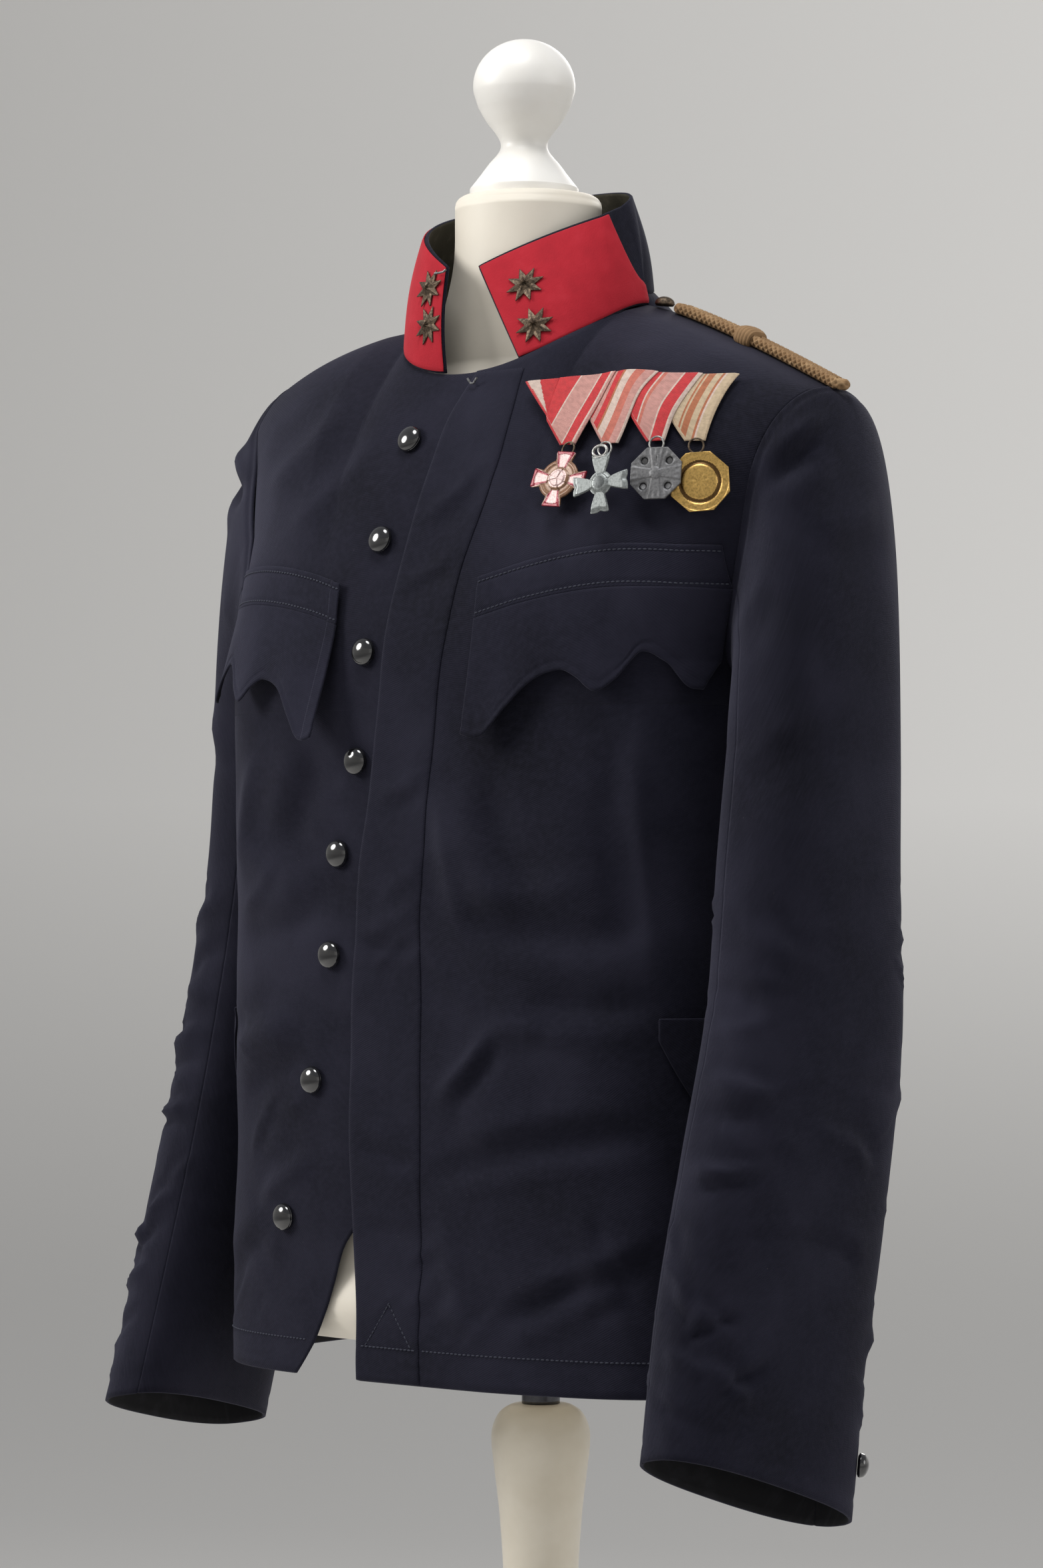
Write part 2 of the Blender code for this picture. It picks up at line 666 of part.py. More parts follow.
def build_collar(side, look, patch_look, star_look):
    end = COLLAR_END[side]
    degrees = end + (180.0 - end) * np.linspace(0.0, 1.0, 21)
    heights = np.linspace(0.0, 1.0, 5)
    a, h = np.meshgrid(degrees, heights)
    outer = collar_point(side, a, h)
    inner = collar_point(side, a, h, -CLOTH)
    sign = 1.0 if side == "left" else -1.0
    for points in (outer, inner):
        points[..., 0] = sign * np.maximum(sign * points[..., 0], SEAM / 2)
    add_shell("collar_" + side, outer, inner, look)

    share, h = np.meshgrid(np.linspace(0.0, 1.0, 12), np.linspace(0.03, 0.97, 5))
    a = end + 0.4 + (PATCH_END[0] + (PATCH_END[1] - PATCH_END[0]) * h - end - 0.4) * share
    outer = collar_point(side, a, h, PATCH_GAP + TRIM_CLOTH)
    inner = collar_point(side, a, h, PATCH_GAP)
    add_shell("collar_patch_" + side, outer, inner, patch_look)

    for number, (turn, height) in enumerate(STARS[side], 1):
        place = collar_point(side, end + turn, height, PATCH_GAP + TRIM_CLOTH + 0.0009)
        right = collar_point(side, end + turn + 1, height) - collar_point(side, end + turn - 1, height)
        above = (collar_point(side, end + turn, height + 0.05)
                 - collar_point(side, end + turn, height - 0.05))
        across = unit(right)
        out = unit(np.cross(right, above))
        if out[1] > 0:
            out = -out
        up = np.cross(out, across)
        radii = [STAR_R if k % 2 == 0 else STAR_R * 0.52 for k in range(16)]
        add_plate(f"collar_star_{side}_{number}", place, (across, up, out), radii, 0.0007, 0.0022,
                  star_look, 0.45)


# ---- pieces on the fronts -----------------------------------------------------------------------
def on_front(x, z, lift):
    """Point lifted off the front's outer surface along its normal, clear of the left front's lap."""
    shape = np.shape(x)
    points = np.empty(shape + (3,))
    for index in np.ndindex(shape):
        here, _, _, out = bodice_frame(x[index], z[index])
        points[index] = here + lift[index] * out
        if x[index] > -0.06:
            points[index][1] -= left_lift(x[index])
    return points


def add_patch(name, x, z, low, look, thickness=TRIM_CLOTH):
    """A sheet lying on the front; low is the height of its underside above the front's surface."""
    low = low * np.ones(x.shape)
    return add_shell(name, on_front(x, z, low + thickness), on_front(x, z, low), look)


def build_fly_band(look):
    low_rows, high_rows = panel_rows()
    z = np.concatenate([low_rows, ARMPIT_Z + high_rows * (NECK_FRONT_Z - ARMPIT_Z)])
    z[0] += SEAM
    z[-1] -= 2 * SEAM
    share = np.linspace(0.0, 1.0, 5)
    left = table(FLY, z, 1)[:, None] + 0.0010
    right = table(FLY, z, 2)[:, None]
    x = left + (right - left) * share
    z = np.repeat(z[:, None], 5, axis=1)
    add_patch("fly_band", x, z, BAND_LIFT, look)


def build_pocket(side, look):
    sign = 1.0 if side == "left" else -1.0
    slant = POCKET_SLANT[side]
    squeeze = POCKET_WIDTH[side]
    x = np.linspace(POCKET[0, 0], POCKET[-1, 0] + slant, 19)
    band_top = table(POCKET, x, 1)
    flap_top = table(POCKET, x, 2)
    share = np.linspace(0.0, 1.0, 3)[:, None]
    z = flap_top + 0.0010 + (band_top - flap_top - 0.0010) * share
    grid_x = POCKET[0, 0] + squeeze * (np.repeat(x[None], 3, axis=0) - POCKET[0, 0])
    add_patch("chest_band_" + side, sign * grid_x, z, BAND_LIFT, look)

    x = np.linspace(POCKET[0, 0], POCKET[-1, 0], FLAP_COLUMNS)
    flap_top = table(POCKET, x, 2)
    flap_bottom = table(POCKET, x, 3)
    share = np.linspace(0.0, 1.0, 5)[:, None]
    z = flap_top + (flap_bottom - flap_top) * share
    inner, outer = FLAP_STAND_OFF[side]
    stand = inner + (outer - inner) * np.linspace(0.0, 1.0, FLAP_COLUMNS)
    depth = (flap_top - z) / (flap_top.max() - flap_bottom.min())
    lift = 0.0010 + stand * depth ** 1.4
    grid_x = x + slant * smooth((x - 0.12) / 0.0545) * (1.0 - share)
    grid_x = POCKET[0, 0] + squeeze * (grid_x - POCKET[0, 0])
    add_patch("chest_flap_" + side, sign * grid_x, z, lift, look)


def build_hip_pocket(side, look):
    sign = 1.0 if side == "left" else -1.0
    inner_x, outer_x, top = HIP_WELT
    x = np.linspace(inner_x, outer_x, 6)
    slant = (x - inner_x) / (outer_x - inner_x)
    bottom = top - 0.012 - HIP_FLAP_DROP * slant
    share = np.linspace(0.0, 1.0, 4)[:, None]
    z = top + (bottom - top) * share
    grid_x = np.repeat(x[None], 4, axis=0)
    add_patch("hip_flap_" + side, sign * grid_x, z, BAND_LIFT, look)


def dome_button(name, place, out, radius, look):
    profile = [(0.0, 0.0), (radius * 0.80, 0.0), (radius, BUTTON_RIM)]
    for a in (32.0, 62.0):
        a = math.radians(a)
        profile.append((radius * math.cos(a) * 0.98, BUTTON_RIM + BUTTON_DOME * math.sin(a)))
    profile.append((0.0, BUTTON_RIM + BUTTON_DOME))
    add_lathe(name, profile, place, look, BUTTON_SEGMENTS, out)


def build_front_buttons(look):
    for number, (x, z) in enumerate(FRONT_BUTTONS, 1):
        here, _, _, out = bodice_frame(x, z)
        dome_button(f"front_button_{number}", here + BUTTON_LIFT * out, out, BUTTON_R, look)


def build_cuff_buttons(look):
    for side in ("left", "right"):
        rings = sleeve_rings(side)
        back = SLEEVE_POINTS * 3 // 4 + 2
        here = rings[-2, back] * 0.55 + rings[-1, back] * 0.45
        along = rings[-1, back] - rings[-2, back]
        around = rings[-1, back + 1] - rings[-1, back - 1]
        out = unit(np.cross(along, around))
        if np.dot(out, here - rings[-1].mean(axis=0)) < 0:
            out = -out
        dome_button(f"cuff_button_{side}", here + BUTTON_LIFT * out, out, CUFF_BUTTON_R, look)


# ---- shoulder cord, ribbons and medals ----------------------------------------------------------
def build_cord(look, slide_look, button_look):
    inner, outer, radius, spacing = CORD
    x = np.linspace(inner, outer, 9)
    lift = radius + CORD_LIFT
    top = shoulder_line(x, "left") + lift
    seam = shoulder_turn(x, top)
    front = np.stack([x, seam - spacing / 2, top], axis=1)
    back = np.stack([x, seam + spacing / 2, top], axis=1)
    angles = np.radians((45.0, 90.0, 135.0))
    turn_out = np.stack([outer + spacing / 2 * np.sin(angles), seam[-1] - spacing / 2 * np.cos(angles),
                         np.full(3, top[-1] - 0.0008)], axis=1)
    turn_in = np.stack([inner - spacing / 2 * np.sin(angles), seam[0] + spacing / 2 * np.cos(angles),
                        np.full(3, top[0] + 0.0008)], axis=1)
    add_tube("shoulder_cord", np.concatenate([front, turn_out, back[::-1], turn_in]), radius, look, 6,
             closed=True)

    slope = (shoulder_line(SLIDE_X + 0.01, "left") - shoulder_line(SLIDE_X - 0.01, "left")) / 0.02
    along = unit([1.0, 0.0, float(slope)])
    up = np.array([-along[2], 0.0, along[0]])
    height = float(shoulder_line(SLIDE_X, "left")) + lift
    middle = np.array([SLIDE_X, float(shoulder_turn(SLIDE_X, height)), height])
    a = 2 * np.pi * np.arange(20) / 20
    hole = radius + 0.0005
    rings = []
    for shift, swell in ((-0.0055, 0.0014), (-0.0030, 0.0026), (0.0030, 0.0026), (0.0055, 0.0014)):
        wide = spacing / 2 + hole + swell
        tall = hole + swell
        flat = np.stack([np.sign(np.cos(a)) * np.abs(np.cos(a)) ** 0.75 * wide,
                         np.sign(np.sin(a)) * np.abs(np.sin(a)) ** 0.75 * tall], axis=1)
        # the underside stays close to the cord, clear of the shoulder
        flat[:, 1] = np.maximum(flat[:, 1], -(hole + 0.0010))
        rings.append(middle + shift * along + flat[:, :1] * np.array([0.0, 1.0, 0.0]) + flat[:, 1:] * up)
    for shift in (0.0055, -0.0055):
        wide = spacing / 2 + hole
        flat = np.stack([np.sign(np.cos(a)) * np.abs(np.cos(a)) ** 0.6 * wide,
                         np.sign(np.sin(a)) * np.abs(np.sin(a)) ** 0.6 * hole], axis=1)
        rings.append(middle + shift * along + flat[:, :1] * np.array([0.0, 1.0, 0.0]) + flat[:, 1:] * up)
    count = len(rings)
    faces = grid_quads(count, 20, wrap=True)
    last = (count - 1) * 20
    faces += [(last + k, last + (k + 1) % 20, (k + 1) % 20, k) for k in range(20)]
    add_mesh("cord_slide", np.concatenate(rings), faces, slide_look)

    x = inner - 0.0155
    z = float(shoulder_line(x, "left")) + 0.0026
    dome_button("cord_button", (x, 0.0, z), (0.1, 0.0, 1.0), 0.0060, button_look)


def build_ribbons(looks):
    """Each ribbon is folded to a point; the innermost one lies on top."""
    for number, (row, look) in enumerate(zip(RIBBONS, looks)):
        top_x, top_width, tip_x = row[:3]
        layer = 0.0012 * (len(RIBBONS) - 1 - number)
        share = np.linspace(0.0, 1.0, 5)[:, None]
        across = np.linspace(-0.5, 0.5, 7)[None]
        width = top_width + (RIBBON_TIP_WIDTH - top_width) * share
        x = top_x + (tip_x - top_x) * share + width * across
        z = RIBBON_TOP_Z + (RIBBON_TIP_Z - RIBBON_TOP_Z) * share + 0.0 * across
        low = 0.0036 - 0.0014 * share + layer + 0.0 * across
        outer = on_front(x, z, low + 0.0007)
        inner = on_front(x, z, low)
        add_shell(f"ribbon_{number + 1}", outer, inner, look)


def outline(kind, radius, count=32):
    """Polar outline of a medal, from its top, with the lug that its ribbon holds."""
    a = 2 * np.pi * np.arange(count) / count
    if kind == "cross":
        narrow = np.abs(np.sin(2 * a)) ** 1.6
        radii = radius * (1.0 - 0.52 * narrow)
    elif kind == "crowned":
        narrow = np.abs(np.sin(2 * a)) ** 2.2
        radii = radius * (1.0 - 0.42 * narrow)
    elif kind == "wreath":
        radii = radius * (0.90 + 0.08 * np.cos(8 * a))
    else:
        radii = radius * (0.94 + 0.03 * np.cos(8 * a))
    lug = np.exp(-(np.minimum(a, 2 * np.pi - a) / 0.16) ** 4)
    return radii + (radius * 1.14 - radii) * lug


def build_medals(looks):
    kinds = ("cross", "crowned", "wreath", "ring")
    for number, (row, kind, look) in enumerate(zip(RIBBONS, kinds, looks), 1):
        x, z, radius, lift = row[3:]
        here, across, up, out = bodice_frame(x, z)
        here[1] -= float(left_lift(x))
        add_plate(f"medal_{number}", here + lift * out, (across, up, out), outline(kind, radius),
                  0.0016, 0.0016, look, 0.40)


def build_hooks(look):
    """Hook at the front end of the right collar half, and one at the throat of the left front."""
    place = collar_point("right", COLLAR_END["right"] + 0.9, 0.93, 0.0038)
    path = [place + np.array(step) for step in
            ((-0.0040, -0.0002, 0.0), (0.0, -0.0006, 0.0), (0.0028, -0.0004, 0.0004), (0.0042, 0.0, 0.0016))]
    add_tube("collar_hook", path, 0.0007, look, 8)
    here, _, _, out = bodice_frame(0.018, 1.3790)
    here[1] -= LEFT_LIFT
    here = here + out * 0.0034
    path = [here + np.array(step) for step in
            ((-0.0035, 0.0, 0.0030), (-0.0010, 0.0, 0.0), (0.0010, 0.0, 0.0), (0.0035, 0.0, 0.0030))]
    add_tube("throat_hook", path, 0.0007, look, 8)


# ---- dress form and stand -----------------------------------------------------------------------
def form_section(z, back):
    half, depth = section_of(-1.0, z, back)
    return half - CLOTH - FORM_GAP, abs(depth) - CLOTH - FORM_GAP


def build_form(form_look, finial_look):
    """A smooth torso: rings up to the chest, then a dome to the shoulders and into the neck block."""
    count = 32
    a = 2 * np.pi * np.arange(count) / count
    rings = []
    for z, share in ((FORM_BOTTOM, 0.93), (FORM_BOTTOM + 0.006, 0.985), (0.870, 1.0), (0.990, 1.0),
                     (1.100, 1.0), (1.180, 0.99), (1.225, 0.96), (1.262, 0.90),
                     (1.292, 0.83), (1.322, 0.745), (1.350, 0.64), (1.375, 0.525), (1.397, 0.40)):
        half, front = form_section(min(z, 1.215), False)
        _, back = form_section(min(z, 1.215), True)
        depth_share = share if z < 1.20 else share ** 1.25
        power = 3.2 - 1.0 * smooth((z - 1.20) / 0.18)
        c = np.sign(np.cos(a)) * np.abs(np.cos(a)) ** (2 / power)
        s = np.sign(np.sin(a)) * np.abs(np.sin(a)) ** (2 / power)
        depth = np.where(s < 0, front, back) * depth_share
        shift = FORM_NECK_Y * smooth((z - 1.20) / 0.18)
        rings.append(np.stack([half * share * c, depth * s + shift, np.full(count, z)], axis=1))
    for z, radius in ((1.418, FORM_NECK_R + 0.013), (1.436, FORM_NECK_R + 0.004), (1.455, FORM_NECK_R),
                      (FORM_NECK_TOP - 0.002, FORM_NECK_R), (FORM_NECK_TOP, FORM_NECK_R - 0.002)):
        rings.append(np.stack([radius * np.cos(a), radius * np.sin(a) + FORM_NECK_Y, np.full(count, z)],
                              axis=1))
    points = np.concatenate(rings)
    faces = grid_quads(len(rings), count, wrap=True)
    faces.append(tuple(range(count)))
    faces.append(tuple(reversed(range((len(rings) - 1) * count, len(rings) * count))))
    add_mesh("form_torso", points, faces, form_look)

    z = FORM_NECK_TOP + SEAM
    profile = [(0.0, 0.0), (0.0330, 0.0), (0.0330, 0.0030), (0.0290, 0.0065), (0.0185, 0.0150),
               (0.0140, 0.0225), (0.0135, 0.0270), (0.0165, 0.0305), (0.0145, 0.0340)]
    middle = 0.0660
    knob = 0.0306
    for angle in (-60.0, -30.0, 0.0, 30.0, 56.0, 76.0):
        angle = math.radians(angle)
        profile.append((knob * math.cos(angle), middle + knob * 0.93 * math.sin(angle)))
    profile.append((0.0, middle + knob * 0.93))
    add_lathe("form_finial", profile, (0.0, FORM_NECK_Y, z), finial_look, 20)


def build_stand(rod_look, wood_look):
    top = FORM_BOTTOM - SEAM
    low = COLUMN_TOP + SEAM
    add_lathe("stand_rod", [(0.0, low), (ROD_R, low), (ROD_R, top), (0.0, top)], (0, 0, 0), rod_look, 20)
    profile = [(0.0, 0.0303), (0.0420, 0.0303), (0.0450, 0.0360), (0.0380, 0.0520), (0.0260, 0.0660),
               (0.0235, 0.1200), (0.0225, 0.3000), (0.0215, 0.5600), (0.0225, 0.6550), (0.0240, 0.6900),
               (0.0290, 0.7280), (0.0300, 0.7450), (0.0270, 0.7560), (0.0190, 0.7610), (0.0155, 0.7650),
               (0.0150, 0.7700), (0.0135, COLUMN_TOP), (0.0, COLUMN_TOP)]
    add_lathe("stand_column", profile, (0, 0, 0), wood_look, 20)
    profile = [(0.0, 0.0), (BASE_R, 0.0), (BASE_R, 0.0120), (BASE_R - 0.0050, 0.0170),
               (BASE_R - 0.0300, 0.0200), (0.0700, 0.0300), (0.0, 0.0300)]
    add_lathe("stand_base", profile, (0, 0, 0), wood_look, 32)


def main():
    for old in list(bpy.data.objects):
        bpy.data.objects.remove(old)
    navy = material("navy_wool", (0.026, 0.028, 0.045), 0.85)
    red = material("red_felt", (0.42, 0.018, 0.030), 0.90)
    black = material("black_button", (0.008, 0.008, 0.009), 0.25)
    brass = material("dull_brass", (0.36, 0.25, 0.11), 0.45, 0.9)
    gold = material("gold_braid", (0.23, 0.15, 0.05), 0.60, 0.3)
    steel = material("hook_steel", (0.30, 0.30, 0.31), 0.35, 1.0)
    cream = material("cream_form", (0.78, 0.71, 0.60), 0.55)
    white = material("white_turned_wood", (0.82, 0.78, 0.70), 0.30)
    chrome = material("chrome_rod", (0.55, 0.55, 0.57), 0.15, 1.0)
    silver = material("medal_silver", (0.42, 0.42, 0.40), 0.40, 1.0)
    bronze = material("medal_bronze", (0.36, 0.22, 0.09), 0.40, 1.0)
    enamel = material("medal_enamel", (0.70, 0.62, 0.58), 0.25)
    ribbons = [material("ribbon_red", (0.50, 0.03, 0.05), 0.75),
               material("ribbon_rose", (0.60, 0.12, 0.14), 0.75),
               material("ribbon_salmon", (0.62, 0.18, 0.13), 0.75),
               material("ribbon_cream", (0.66, 0.52, 0.40), 0.75)]

    build_front("left", navy)
    build_front("right", navy)
    build_back(navy)
    for side in ("left", "right"):
        build_sleeve(side, navy)
        build_collar(side, navy, red, brass)
        build_pocket(side, navy)
        build_hip_pocket(side, navy)
    build_fly_band(navy)
    build_front_buttons(black)
    build_cuff_buttons(black)
    build_cord(gold, gold, brass)
    build_ribbons(ribbons)
    build_medals([enamel, silver, silver, bronze])
    build_hooks(steel)
    build_form(cream, white)
    build_stand(chrome, white)


main()
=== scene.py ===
import math

import bpy
import numpy as np
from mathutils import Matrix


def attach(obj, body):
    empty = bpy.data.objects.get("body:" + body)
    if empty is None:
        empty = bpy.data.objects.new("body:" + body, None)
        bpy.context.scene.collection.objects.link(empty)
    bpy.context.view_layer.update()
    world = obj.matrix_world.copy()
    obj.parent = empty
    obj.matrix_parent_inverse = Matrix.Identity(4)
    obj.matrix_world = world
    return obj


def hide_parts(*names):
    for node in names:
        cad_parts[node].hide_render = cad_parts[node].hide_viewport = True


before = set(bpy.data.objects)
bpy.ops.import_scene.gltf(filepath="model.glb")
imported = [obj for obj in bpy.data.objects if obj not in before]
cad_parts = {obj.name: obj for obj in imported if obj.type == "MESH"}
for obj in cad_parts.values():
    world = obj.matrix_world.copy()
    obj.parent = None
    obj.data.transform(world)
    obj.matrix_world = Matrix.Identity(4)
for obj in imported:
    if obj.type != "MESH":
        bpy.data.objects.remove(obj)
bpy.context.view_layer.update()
print("packed model loaded")


# small tools: curves, tables and folds
def ramp(t):  # rises from 0 to 1 as 3t^2 - 2t^3
    t = np.clip(t, 0.0, 1.0)
    return t * t * (3.0 - 2.0 * t)


def signOf(side):  # 1 for the wearer's left, -1 for the right
    return 1.0 if side == "left" else -1.0


def evenTurns(count):  # count angles shared evenly round a circle
    return 2 * np.pi * np.arange(count) / count


def hump(offset, width):  # 1 in the middle, falling off as exp(-(offset/width)^2)
    return np.exp(-(offset / width)**2)


def capRound(offset, radius):  # the square root of 1 - (offset/radius)^2, and 0 outside the radius
    return np.sqrt(np.clip(1.0 - (offset / radius)**2, 0.0, 1.0))


def squared(value, power):  # a sine or cosine raised to a power with its sign kept, for superellipse rings
    return np.sign(value) * np.abs(value) ** power


def atWalked(wanted, walked, points):  # points at given distances along a path
    return np.stack([np.interp(wanted, walked, points[:, k]) for k in range(3)], axis=1)


def unit(v):  # each vector over its own length
    return v / np.maximum(np.linalg.norm(v, axis=-1, keepdims=True), 1e-12)


def column(rows, at, k):  # straight lines between a table's rows
    return np.interp(at, rows[:, 0], rows[:, k])


def softColumn(rows, at, k):
    # a cubic curve through a table's rows, each row's slope the mean of its two sides
    x, y = rows[:, 0], rows[:, k]
    slope = np.gradient(y, x)
    i = np.clip(np.searchsorted(x, at) - 1, 0, len(x) - 2)
    h = x[i + 1] - x[i]
    t = np.clip((at - x[i]) / h, 0.0, 1.0)
    return ((2 * t**3 - 3 * t**2 + 1) * y[i] + (t**3 - 2 * t**2 + t) * h * slope[i]
            + (3 * t**2 - 2 * t**3) * y[i + 1] + (t**3 - t**2) * h * slope[i + 1])


def throughPoints(points, steps):  # a smooth curve through points; a point given twice makes a corner
    p = np.asarray(points, float)
    p = np.concatenate([2 * p[:1] - p[1:2], p, 2 * p[-1:] - p[-2:-1]])
    t = np.linspace(0.0, 1.0, steps + 1)[:-1, None]
    a, b, c, d = (p[k:len(p) - 3 + k, None] for k in range(4))
    curve = 0.5 * (2 * b + (c - a) * t + (2 * a - 5 * b + 4 * c - d) * t**2 + (3 * b - a - 3 * c + d) * t**3)
    curve = np.concatenate([curve.reshape(-1, p.shape[1]), p[-2:-1]])
    apart = np.concatenate([[True], np.linalg.norm(np.diff(curve, axis=0), axis=1) > 2e-5])
    return curve[apart]


def foldField(u, v, rows):
    # each row is one soft fold from (u0, v0) to (u1, v1): a bell across it with a hollow along one side,
    # bowed sideways by bend and faded at both ends
    total = np.zeros_like(u)
    for u0, v0, u1, v1, width, height, bend in rows:
        du, dv = u1 - u0, v1 - v0
        length = math.hypot(du, dv)
        t = ((u - u0) * du + (v - v0) * dv) / length**2
        side = ((u - u0) * dv - (v - v0) * du) / length - bend * 4 * t * (1 - t)
        fade = ramp((t + 0.10) / 0.42) * ramp((1.10 - t) / 0.42)
        bell = 1.0 / np.cosh(1.9 * side / width) - 0.50 * hump(side - 1.5 * width, width)
        total += height * fade * bell
    return total


def scatteredFolds(seed, count, low, high, lengths, tilts, widths, heights):
    # count folds with middles spread over a box; each length, tilt, width and height comes from its own range
    dice = np.random.default_rng(seed)
    u = dice.uniform(low[0], high[0], count)
    v = dice.uniform(low[1], high[1], count)
    long = dice.uniform(*lengths, count) / 2
    tilt = np.radians(dice.uniform(*tilts, count)) * dice.choice((-1.0, 1.0), count)
    wide = dice.uniform(*widths, count)
    tall = dice.uniform(*heights, count)
    bend = dice.uniform(-0.12, 0.12, count) * long
    return np.stack([u - long * np.cos(tilt), v - long * np.sin(tilt), u + long * np.cos(tilt),
                     v + long * np.sin(tilt), wide, tall, bend], axis=1)


# mesh makers
def gridFaces(rows, columns, around=False):  # quads of a grid; around joins the last column to the first
    r = np.arange(rows - 1)[:, None] * columns
    c = np.arange(columns if around else columns - 1)[None]
    d = (c + 1) % columns
    return np.stack([r + c, r + d, r + columns + d, r + columns + c], axis=-1).reshape(-1, 4)


def fan(first, segments, pole, flip=False):  # triangles from one closed ring of points to its pole
    k = first + np.arange(segments)
    d = first + (np.arange(segments) + 1) % segments
    return list(zip(d, k, np.full(segments, pole))) if flip else list(zip(k, d, np.full(segments, pole)))


def makePiece(name, points, faces, looks, uv=None, lookOf=None, marks=None, turn=False):
    # a smooth mesh object on the root body; uv and marks have one entry a point, and turn flips every face
    points = np.ascontiguousarray(points, np.float64).reshape(-1, 3)
    faces = [tuple(f) for f in faces]
    if turn:
        faces = [f[::-1] for f in faces]
    mesh = bpy.data.meshes.new(name)
    mesh.from_pydata(points.tolist(), [], faces)
    for look in looks:
        mesh.materials.append(look)
    if lookOf is not None:
        mesh.polygons.foreach_set("material_index", np.asarray(lookOf, np.int32))
    if uv is not None:
        layer = mesh.uv_layers.new(name="UVMap")
        corner = np.empty(len(mesh.loops), np.int32)
        mesh.loops.foreach_get("vertex_index", corner)
        layer.data.foreach_set("uv", np.ascontiguousarray(uv[corner], np.float32).ravel())
    for label, values in (marks or {}).items():
        mark = mesh.attributes.new(label, "FLOAT", "POINT")
        mark.data.foreach_set("value", np.ascontiguousarray(values, np.float32).ravel())
    mesh.shade_smooth()
    mesh.validate()
    piece = bpy.data.objects.new(name, mesh)
    bpy.context.scene.collection.objects.link(piece)
    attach(piece, "root")
    return piece


def closedRings(name, rings, poles, look, uv=None, marks=None, turn=False):
    # rings of points joined row to row, with a fan of triangles to a pole at each end
    rows, around = rings.shape[:2]
    count = rows * around
    faces = [tuple(f) for f in gridFaces(rows, around, True)]
    faces += fan(0, around, count, True) + fan(count - around, around, count + 1)
    points = np.concatenate([rings.reshape(-1, 3), poles])
    return makePiece(name, points, faces, [look], uv, marks=marks, turn=turn)


def lengthsAlong(grid, axis):  # distance walked along a grid's rows or columns
    step = np.linalg.norm(np.diff(grid, axis=axis), axis=-1)
    start = np.zeros_like(np.take(step, [0], axis=axis))
    return np.concatenate([start, np.cumsum(step, axis=axis)], axis=axis)


def gridNormals(grid, outward):
    # unit normals from the cross of the grid's own steps, turned to the side that outward points to
    normal = unit(np.cross(np.gradient(grid, axis=1), np.gradient(grid, axis=0)))
    return -normal if np.sum(normal * outward) < 0 else normal


def clothSheet(name, outer, normal, thickness, looks, roll=0.38, marks=None, inner=None):
    # a closed sheet: the outer grid, the same grid moved in by the thickness, and an edge rolled between them
    rows, columns = outer.shape[:2]
    if inner is None:
        inner = outer - thickness * normal
    half = rows * columns
    rim = np.concatenate([np.arange(columns), np.arange(1, rows) * columns + columns - 1,
                          (rows - 1) * columns + np.arange(columns - 2, -1, -1),
                          np.arange(rows - 2, 0, -1) * columns])
    a, b = outer.reshape(-1, 3)[rim], inner.reshape(-1, 3)[rim]
    along = np.roll(a, -1, axis=0) - np.roll(a, 1, axis=0)
    out = unit(np.cross(along, normal.reshape(-1, 3)[rim]))
    centre = outer.reshape(-1, 3).mean(axis=0)
    out = out if np.sum(out * (a - centre)) > 0 else -out
    bulge = (a + b) / 2 + roll * thickness * out
    points = np.concatenate([outer.reshape(-1, 3), inner.reshape(-1, 3), bulge])
    front = gridFaces(rows, columns)
    p = outer.reshape(-1, 3)[front]
    facing = np.sum(np.cross(p[:, 1] - p[:, 0], p[:, 2] - p[:, 0]) * normal.reshape(-1, 3)[front[:, 0]])
    nextRim = np.roll(rim, -1)
    mid = 2 * half + np.arange(len(rim))
    nextMid = np.roll(mid, -1)
    faces = np.concatenate([front, front[:, ::-1] + half, np.stack([nextRim, rim, mid, nextMid], axis=1),
                            np.stack([nextMid, mid, rim + half, nextRim + half], axis=1)])
    lookOf = np.zeros(len(faces), int)
    lookOf[len(front):2 * len(front)] = len(looks) - 1
    uv = np.stack([lengthsAlong(outer, 1), lengthsAlong(outer, 0)], axis=-1).reshape(-1, 2)
    uv = np.concatenate([uv, uv, uv[rim]])
    if marks:
        marks = {k: np.concatenate([m.ravel(), m.ravel(), m.ravel()[rim]]) for k, m in marks.items()}
    return makePiece(name, points, faces, looks, uv, lookOf, marks, turn=facing < 0)


def axes(up):  # two directions square to up
    up = unit(np.asarray(up, float))
    side = unit(np.cross(up, (0.0, 1.0, 0.0) if abs(up[1]) < 0.9 else (1.0, 0.0, 0.0)))
    return side, np.cross(up, side), up


def turned(name, profile, centre, up, look, segments=64):
    # a profile of (radius, height) carried round an axis, both ends of it on the axis
    side, other, up = axes(up)
    a = evenTurns(segments)
    circle = np.cos(a)[:, None] * side + np.sin(a)[:, None] * other
    profile = np.asarray(profile, float)
    middle = profile[1:-1]
    rings = centre + middle[:, 0, None, None] * circle + middle[:, 1, None, None] * up
    poles = [centre + profile[0, 1] * up, centre + profile[-1, 1] * up]
    walked = lengthsAlong(profile[None], 1)[0]
    uv = np.stack(np.broadcast_arrays(a[None] * 0.05, walked[1:-1, None]), axis=-1).reshape(-1, 2)
    uv = np.concatenate([uv, [[0.0, walked[0]], [0.0, walked[-1]]]])
    return closedRings(name, rings, poles, look, uv)


